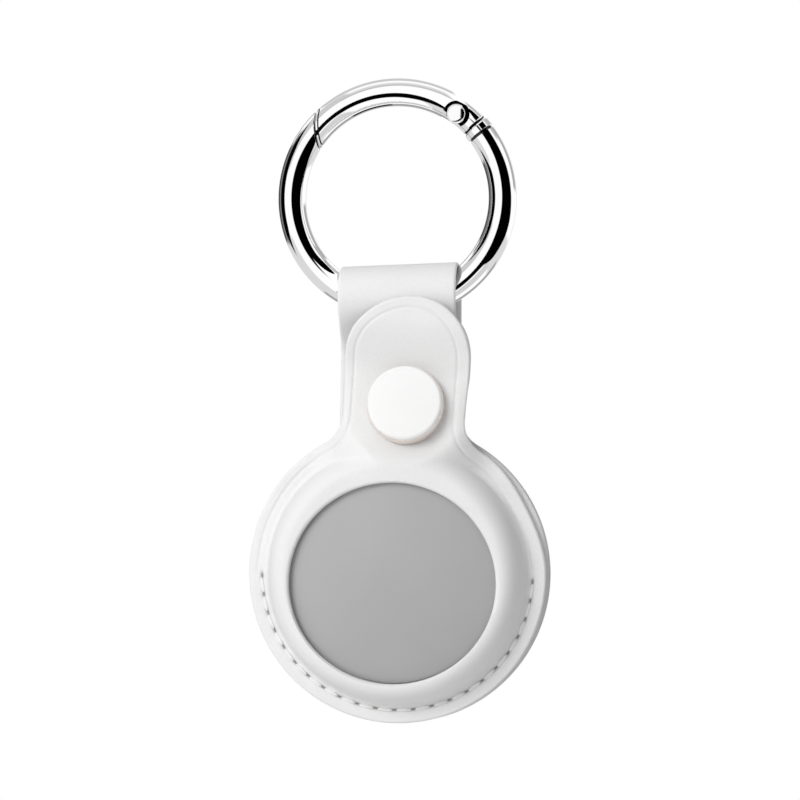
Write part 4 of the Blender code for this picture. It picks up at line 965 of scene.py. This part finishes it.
def dome_y(radius):
    """Depth of the moulded dome: flat lip, round shoulder, wall and a small foot."""
    top = DOME_TOP
    height = FLANGE_Y - DOME_FRONT_Y
    share = np.clip((radius - top) / DOME_WALL, 0, math.sin(DOME_SWEEP))
    wall = FLANGE_Y - height * np.sqrt(1 - share ** 2)
    low = top + DOME_WALL * math.sin(DOME_SWEEP)
    low_y = FLANGE_Y - height * math.cos(DOME_SWEEP)
    foot = top + DOME_WALL + DOME_FILLET
    t = np.clip((radius - low) / (foot - low), 0, 1)
    return np.where(radius <= low, wall, low_y + (FLANGE_Y - low_y) * np.sin(t * math.pi / 2))


def front_y(x, z):
    """Depth of the front's outer face anywhere over the body and the tongue."""
    dome = dome_y(np.hypot(x, z))
    along = z * math.cos(TONGUE_LEAN) + x * math.sin(TONGUE_LEAN)
    over = np.abs(x * math.cos(TONGUE_LEAN) - z * math.sin(TONGUE_LEAN))
    inner = NECK_HALF * (0.1 + 0.75 * smooth_step((along - SHOULDER_START) / DOME_TOP * 1.8))
    outer = NECK_HALF + SHOULDER_FILLET
    fade = 1 - smooth_step((along - SNAP_HEIGHT) / CAP_RADIUS)
    drop = smooth_step((over - inner) / (outer - inner)) * fade
    rise = smooth_step((along - TONGUE_START) / TONGUE_RISE)
    tongue = tongue_y(along)
    tongue = tongue + (FLANGE_Y - tongue) * np.maximum(drop, 1 - rise)
    front = np.minimum(dome, tongue)
    softness = np.clip(front - DOME_FRONT_Y, 0.00001, PANEL)
    reach = rise * np.maximum(softness - np.abs(dome - tongue), 0) / softness
    return front - reach * reach * softness / 4


def lean(x, z):
    return (x * math.cos(TONGUE_LEAN) + z * math.sin(TONGUE_LEAN),
            z * math.cos(TONGUE_LEAN) - x * math.sin(TONGUE_LEAN))


def window_point(turn):
    """Edge of the oval window in a direction from the tag's middle."""
    wide = (math.cos(turn) / WINDOW_HALF_WIDTH) ** 2
    high = (math.sin(turn) / WINDOW_HALF_HEIGHT) ** 2
    sunk = WINDOW_DROP * math.sin(turn) / WINDOW_HALF_HEIGHT ** 2
    rest = 1 - (WINDOW_DROP / WINDOW_HALF_HEIGHT) ** 2
    reach = (math.sqrt(sunk ** 2 + (wide + high) * rest) - sunk) / (wide + high)
    return (reach * math.cos(turn), reach * math.sin(turn))


def front_columns():
    """(outline point, inner point, whether it is on the window) round the whole piece."""
    fillet_z = neck_fillet(NECK_HALF)
    fillet_x = NECK_HALF + SHOULDER_FILLET
    join = math.atan2(fillet_z, fillet_x)
    tip_z = TONGUE_HEIGHT - TONGUE_HALF
    window_top = WINDOW_HALF_HEIGHT - WINDOW_DROP
    right = []
    fillet_steps = 26
    for k in range(1, fillet_steps + 1):
        share = k / fillet_steps
        turn = math.pi + join - join * share
        inner = join + (math.pi / 2 - join) * share
        outer = (fillet_x + SHOULDER_FILLET * math.cos(turn), fillet_z + SHOULDER_FILLET * math.sin(turn))
        right.append((outer, (math.cos(inner), math.sin(inner)), True))
    side_steps = 40
    for k in range(1, side_steps + 1):
        share = k / side_steps
        outer = (NECK_HALF + (TONGUE_HALF - NECK_HALF) * share, fillet_z + (tip_z - fillet_z) * share)
        right.append((outer, (0, window_top + (tip_z - window_top) * share), False))
    tip_steps = 44
    for k in range(1, tip_steps + 1):
        turn = math.pi / 2 * k / tip_steps
        outer = (TONGUE_HALF * math.cos(turn), tip_z + TONGUE_HALF * math.sin(turn))
        right.append((outer, (0, tip_z), False))
    left = [((-outer[0], outer[1]), (-inner[0], inner[1]), edge)
            for outer, inner, edge in reversed(right[:-1])]
    tongue = []
    for outer, inner, edge in right + left:
        above = max(outer[1] - tip_z, 0) / TONGUE_HALF
        tongue.append(((outer[0] + TIP_SKEW * above ** 2, outer[1]), inner, edge))
    columns = []
    fine_start = FIRST_HOLE - FINE_MARGIN
    fine_end = LAST_HOLE + FINE_MARGIN
    pull_end = math.tau + join - TONGUE_LEAN
    turns = list(np.linspace(math.pi - join - TONGUE_LEAN, fine_start, 70, endpoint=False))
    turns += list(np.linspace(fine_start, fine_end, 640))
    turns += list(np.linspace(fine_end, pull_end, 71))[1:]
    for turn in turns:
        share = min(max((turn - math.tau) / (pull_end - math.tau), 0), 1)
        radius = BODY_RADIUS - EDGE_PULL * math.sin(math.pi * share) ** 2
        columns.append(((radius * math.cos(turn), radius * math.sin(turn)), window_point(turn), True))
    for outer, inner, edge in tongue:
        inner = lean(*inner)
        if edge:
            inner = window_point(math.atan2(inner[1], inner[0]))
        columns.append((lean(*outer), inner, edge))
    return columns


def even_stations(outer, inner, count):
    """Points along a column, even along the real surface and closer together at its rim."""
    t = np.linspace(0, 1, 500)
    x = inner[0] + (outer[0] - inner[0]) * t
    z = inner[1] + (outer[1] - inner[1]) * t
    y = front_y(x, z)
    step = np.sqrt(np.diff(x) ** 2 + np.diff(y) ** 2 + np.diff(z) ** 2)
    from_rim = np.hypot(x - outer[0], z - outer[1])[1:]
    weight = step * (1 + RIM_CROWDING * np.exp(-(from_rim / RIM_WIDTH) ** 2))
    total = np.concatenate([[0], np.cumsum(weight)])
    return np.interp(np.linspace(0, total[-1], count), total, t)


def front_mesh():
    columns = front_columns()
    count = 56
    x = np.zeros((len(columns), count))
    z = np.zeros((len(columns), count))
    for j, (outer, inner, edge) in enumerate(columns):
        t = even_stations(outer, inner, count)
        x[j] = inner[0] + (outer[0] - inner[0]) * t
        z[j] = inner[1] + (outer[1] - inner[1]) * t
    outline = np.array([outer for outer, inner, edge in columns])
    plain = front_y(x, z)
    step = 0.00002
    slope_x = (front_y(x + step, z) - front_y(x - step, z)) / (2 * step)
    slope_z = (front_y(x, z + step) - front_y(x, z - step)) / (2 * step)
    length = np.sqrt(1 + slope_x ** 2 + slope_z ** 2)
    normal = np.stack([-slope_x / length, 1 / length, -slope_z / length], -1)
    rim = edge_distance(x, z, outline)
    window = np.full(x.shape, BODY_RADIUS)
    for j, (outer, inner, edge) in enumerate(columns):
        if edge:
            window[j] = np.hypot(x[j] - inner[0], z[j] - inner[1])
    inset = CREASE_INSET + CREASE_DRIFT * np.clip(x / STRAP_HALF, -1, 1)
    crease = CREASE_DEPTH * np.exp(-((rim - inset) / CREASE_WIDTH) ** 2)
    crease *= smooth_step((z + 0.0004) / 0.0012)
    off_row = np.hypot(x, z) - STITCH_RADIUS
    channel = CHANNEL_DEPTH * np.exp(-(off_row / CHANNEL_WIDTH) ** 2) * smooth_step(-z / 0.001)
    dent = HOLE_DENT * slits(x, z, 1.7)
    sink = rounded_edge(rim) + rounded_edge(window) + crease + channel + dent
    front = np.stack([x, plain, z], -1) + normal * sink[..., None]
    skive = WINDOW_SKIVE * (1 - smooth_step(window / WINDOW_SKIVE_WIDTH))
    thickness = PANEL - skive - rounded_edge(rim) * 0.6
    back = np.stack([x, plain, z], -1) + normal * thickness[..., None]
    # Painted shade: dark in the needle holes and faint along the pressed line.
    mark = slits(x, z, 1) + 0.04 * crease / CREASE_DEPTH
    body = bmesh.new()
    layer = body.verts.layers.float.new("mark")

    def make_rows(points, values):
        rows = []
        for column, levels in zip(points, values):
            row = []
            for point, level in zip(column, levels):
                vertex = body.verts.new((point[0], point[1], point[2] + BODY_Z))
                vertex[layer] = float(level)
                row.append(vertex)
            rows.append(row)
        return rows

    skipped = 4
    kept = list(range(0, count - 1, skipped)) + [count - 1]
    front_rows = make_rows(front, mark)
    back_rows = make_rows(back[:, kept], mark[:, kept] * 0)
    for j in range(len(columns)):
        n = (j + 1) % len(columns)
        near, far = front_rows[j], front_rows[n]
        back_near, back_far = back_rows[j], back_rows[n]
        for k in range(count - 1):
            body.faces.new((near[k], far[k], far[k + 1], near[k + 1]))
        for k in range(len(kept) - 1):
            body.faces.new((back_near[k + 1], back_far[k + 1], back_far[k], back_near[k]))
        body.faces.new((near[-1], far[-1], back_far[-1], back_near[-1]))
        if columns[j][2] and columns[n][2]:
            body.faces.new((back_near[0], back_far[0], far[0], near[0]))
    return finished("front_leather", body)


front_leather = new_piece("front_leather", front_mesh(), leather, 55)
cap_hole = rod("cap_hole", CAP_SPOT + CAP_AXIS * 0.001, CAP_SPOT + CAP_AXIS * 0.009, CAP_HOLE)
cut_with(front_leather, cap_hole, "DIFFERENCE")
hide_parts("front_panel", "flap")
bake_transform(front_leather)

# Stitches
# White polyester thread, 22 stitches along the lower half, 2.6 mm from hole to hole, with a lock
# stitch's same row on the back. Each stitch dives into a needle hole at both ends.
THREAD_RADIUS = 0.00026
STITCH_LENGTH = 0.00200

thread, tree, shader, colour = clouded(
    "white_thread", (0.85, 0.85, 0.845), (0.90, 0.90, 0.895), (0.6, 0.8), 400,
    (5200, 0.2), 0.25)
spot = add_node(tree, "ShaderNodeTexCoord")
twist = add_node(tree, "ShaderNodeTexWave", {"Scale": 1500}, bands_direction="DIAGONAL")
twist_bump = add_node(tree, "ShaderNodeBump", {"Strength": 0.2, "Distance": 0.00005})
grain_bump = [item for item in tree.nodes if item.type == "BUMP" and item != twist_bump][0]
link(tree, (spot, "Object", twist, "Vector"), (twist, "Fac", twist_bump, "Height"),
     (twist_bump, "Normal", grain_bump, "Normal"))


def stitch_tree():
    """Instances of one plump stitch along an arc, with its sizes as named inputs."""
    made = bpy.data.node_groups.new("stitch_row", "GeometryNodeTree")
    face = made.interface
    face.new_socket(name="Geometry", in_out="INPUT", socket_type="NodeSocketGeometry")
    sockets = {}
    for label, kind in (("Count", "NodeSocketInt"), ("Arc Radius", FLOAT), ("Start Angle", FLOAT),
                        ("Sweep Angle", FLOAT), ("Stitch Length", FLOAT), ("Thread Radius", FLOAT),
                        ("Depth", FLOAT), ("Height", FLOAT), ("Finish", "NodeSocketMaterial")):
        sockets[label] = face.new_socket(name=label, in_out="INPUT", socket_type=kind).identifier
    face.new_socket(name="Geometry", in_out="OUTPUT", socket_type="NodeSocketGeometry")
    start = add_node(made, "NodeGroupInput")
    end = add_node(made, "NodeGroupOutput")
    arc = add_node(made, "GeometryNodeCurveArc")
    points = add_node(made, "GeometryNodeCurveToPoints", mode="EVALUATED")
    ball = add_node(made, "GeometryNodeMeshUVSphere", {"Segments": 16, "Rings": 14, "Radius": 1})
    half = add_node(made, "ShaderNodeMath", {1: 2}, operation="DIVIDE")
    size = add_node(made, "ShaderNodeCombineXYZ")
    shaped = add_node(made, "GeometryNodeTransform")
    copies = add_node(made, "GeometryNodeInstanceOnPoints")
    upright = add_node(made, "GeometryNodeTransform", {"Rotation": (math.pi / 2, 0, 0)})
    shift = add_node(made, "ShaderNodeCombineXYZ")
    real = add_node(made, "GeometryNodeRealizeInstances")
    finish = add_node(made, "GeometryNodeSetMaterial")
    link(made, (start, "Count", arc, "Resolution"), (start, "Arc Radius", arc, "Radius"),
         (start, "Start Angle", arc, "Start Angle"), (start, "Sweep Angle", arc, "Sweep Angle"),
         (arc, "Curve", points, "Curve"), (start, "Stitch Length", half, 0),
         (start, "Thread Radius", size, "X"), (start, "Thread Radius", size, "Y"), (half, 0, size, "Z"),
         (ball, "Mesh", shaped, "Geometry"), (size, "Vector", shaped, "Scale"),
         (points, "Points", copies, "Points"), (shaped, "Geometry", copies, "Instance"),
         (points, "Rotation", copies, "Rotation"), (start, "Depth", shift, "Y"),
         (start, "Height", shift, "Z"), (shift, "Vector", upright, "Translation"),
         (copies, "Instances", upright, "Geometry"), (upright, "Geometry", real, "Geometry"),
         (real, "Geometry", finish, "Geometry"), (start, "Finish", finish, "Material"),
         (finish, "Geometry", end, "Geometry"))
    return made, sockets


stitch_nodes, stitch_sockets = stitch_tree()


def stitch_row(name, depth):
    carrier = add_object(name + "_carrier", bpy.data.meshes.new(name))
    modifier = carrier.modifiers.new("stitches", "NODES")
    modifier.node_group = stitch_nodes
    pitch = (LAST_HOLE - FIRST_HOLE) / STITCH_COUNT
    values = {"Count": STITCH_COUNT, "Arc Radius": STITCH_RADIUS, "Start Angle": FIRST_HOLE + pitch / 2,
              "Sweep Angle": LAST_HOLE - FIRST_HOLE - pitch, "Stitch Length": STITCH_LENGTH,
              "Thread Radius": THREAD_RADIUS, "Depth": depth, "Height": BODY_Z, "Finish": thread}
    for label, value in values.items():
        modifier[stitch_sockets[label]] = value
    bpy.context.view_layer.update()
    evaluated = carrier.evaluated_get(bpy.context.evaluated_depsgraph_get())
    mesh = bpy.data.meshes.new_from_object(evaluated)
    bpy.data.objects.remove(carrier)
    made = add_object(name, mesh)
    mesh.name = name
    mesh.shade_smooth()
    return made


front_stitches = stitch_row("front_stitches", FLANGE_Y + 0.00008)
back_stitches = stitch_row("back_stitches", REAR_MIDDLE_Y + PANEL / 2 - 0.00002)
for made, node in ((front_stitches, "needle_thread"), (back_stitches, "bobbin_thread")):
    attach(made, "holder")
    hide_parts(node)

# Press stud
# A spring stud. Its white enamelled cap is riveted through the tongue to the socket, and the steel
# stud is held through both leaves of the strap by an eyelet.
CAP_THICKNESS = 0.0024
CAP_CORNER = 0.00045
CAP_CROWN = 0.00012
ENAMEL_INSET = 0.00022
enamel, tree, shader, colour = clouded(
    "white_enamel", (0.90, 0.90, 0.895), (0.93, 0.93, 0.925), (0.10, 0.16), 60,
    (500, 0.0), 0.01)
set_inputs(shader, {"Coat Weight": 0.5, "Coat Roughness": 0.05})
rim_metal, tree, shader, colour = clouded(
    "pale_rose_metal", (0.86, 0.76, 0.70), (0.90, 0.82, 0.77), (0.20, 0.30), 200,
    (1500, 0.1), 0.03, 1.0)
dull_steel, tree, shader, colour = clouded(
    "plated_steel", (0.52, 0.52, 0.53), (0.62, 0.62, 0.63), (0.22, 0.34), 150,
    (1800, 0.1), 0.04, 1.0)
cap_seat = -(SNAP_STACK + PANEL)
cap_top = cap_seat - CAP_THICKNESS
face_radius = CAP_RADIUS - ENAMEL_INSET
flat_radius = face_radius - CAP_CORNER
profile = [(0, cap_top)]
for k in range(1, 13):
    share = k / 12
    profile.append((flat_radius * share, cap_top + CAP_CROWN * share ** 2))
for k in range(1, 9):
    turn = math.pi / 2 * k / 8
    drop = CAP_CORNER * (1 - math.cos(turn))
    profile.append((flat_radius + CAP_CORNER * math.sin(turn), cap_top + CAP_CROWN + drop))
enamel_end = profile[-1][1]
profile += [(face_radius + 0.00002, enamel_end + 0.00006), (CAP_RADIUS, cap_seat - 0.00040),
            (CAP_RADIUS, cap_seat - 0.00018), (CAP_RADIUS - 0.00018, cap_seat),
            (0.0009, cap_seat), (0.0009, -0.0028), (0, -0.0028)]
cap = new_piece("snap_cap_finish", turned("snap_cap_finish", profile, cap_matrix()), enamel, 30)
cap.data.materials.append(rim_metal)
to_axis = cap_matrix().inverted()
for face in cap.data.polygons:
    if (to_axis @ face.center).y > enamel_end + 0.00002:
        face.material_index = 1
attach(cap, "flap")
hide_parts("snap_cap")
profile = [(CAP_HOLE, -0.00315), (0.0042, -0.00315), (0.0042, -0.0023), (0.0040, -0.0017),
           (0.0037, -0.00135), (0.0031, -0.00135), (0.0028, -0.0016), (0.0028, -0.0027),
           (CAP_HOLE, -0.0027)]
socket_mesh = turned("snap_socket_finish", profile, cap_matrix())
socket = new_piece("snap_socket_finish", socket_mesh, dull_steel, 30)
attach(socket, "flap")
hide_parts("snap_socket")


def refinish(finish, *nodes):
    """Another material on pieces that keep the CAD's shape."""
    for node in nodes:
        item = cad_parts[node]
        item.data.materials.clear()
        item.data.materials.append(finish)


refinish(dull_steel, "snap_stud", "snap_post", "gate_plunger", "gate_spring", "coin_cell", "speaker_magnet")

# Tag cover
# The tag's battery cover: pressed stainless steel, plain, with a soft satin face that shows grey
# in the window.
COVER_RADIUS = 0.0145
COVER_DROP = 0.00055
SKIRT_OUTER = 0.0131
SKIRT_INNER = 0.0127
TAG_FRONT_Y = PARTING_Y + TOUCH_GAP / 2 + REAR_BULGE - TOUCH_GAP - 0.0080
satin, tree, shader, colour = clouded(
    "satin_steel", (0.58, 0.58, 0.58), (0.62, 0.62, 0.62), (0.50, 0.56), 35,
    (2600, 0.0), 0.03, 0.6)
profile = [(0, 0)]
for k in range(1, 29):
    share = k / 28
    profile.append((COVER_RADIUS * 0.99 * share, COVER_DROP * share ** 2.4))
profile += [(COVER_RADIUS, COVER_DROP + 0.00008), (COVER_RADIUS, COVER_DROP + 0.0002),
            (SKIRT_OUTER, COVER_DROP + 0.0002), (SKIRT_OUTER, 0.00245), (SKIRT_INNER, 0.00245),
            (SKIRT_INNER, 0.00085), (0, 0.0004)]
cover_place = Matrix.Translation((0, TAG_FRONT_Y, BODY_Z))
cover = new_piece("tag_cover_finish", turned("tag_cover_finish", profile, cover_place, 160), satin, 35)
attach(cover, "cover")
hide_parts("tag_cover")

# Tag shell and what is inside
# Glossy white plastic case, with the battery tray, board, coil and contacts that the pocket hides.
plastic, tree, shader, colour = clouded(
    "white_plastic", (0.86, 0.86, 0.86), (0.90, 0.90, 0.90), (0.12, 0.20), 80,
    (900, 0.0), 0.01)
board_green, tree, shader, colour = clouded(
    "board_green", (0.03, 0.16, 0.08), (0.07, 0.26, 0.14), (0.35, 0.5), 900,
    (2500, 0.8), 0.4)
copper, tree, shader, colour = clouded(
    "plated_copper", (0.66, 0.34, 0.20), (0.78, 0.44, 0.28), (0.25, 0.4), 500,
    (3000, 0.1), 0.05, 1.0)
refinish(plastic, "tag_shell", "battery_tray")
refinish(board_green, "circuit_board")
refinish(copper, "voice_coil", "positive_contact", "negative_contact")
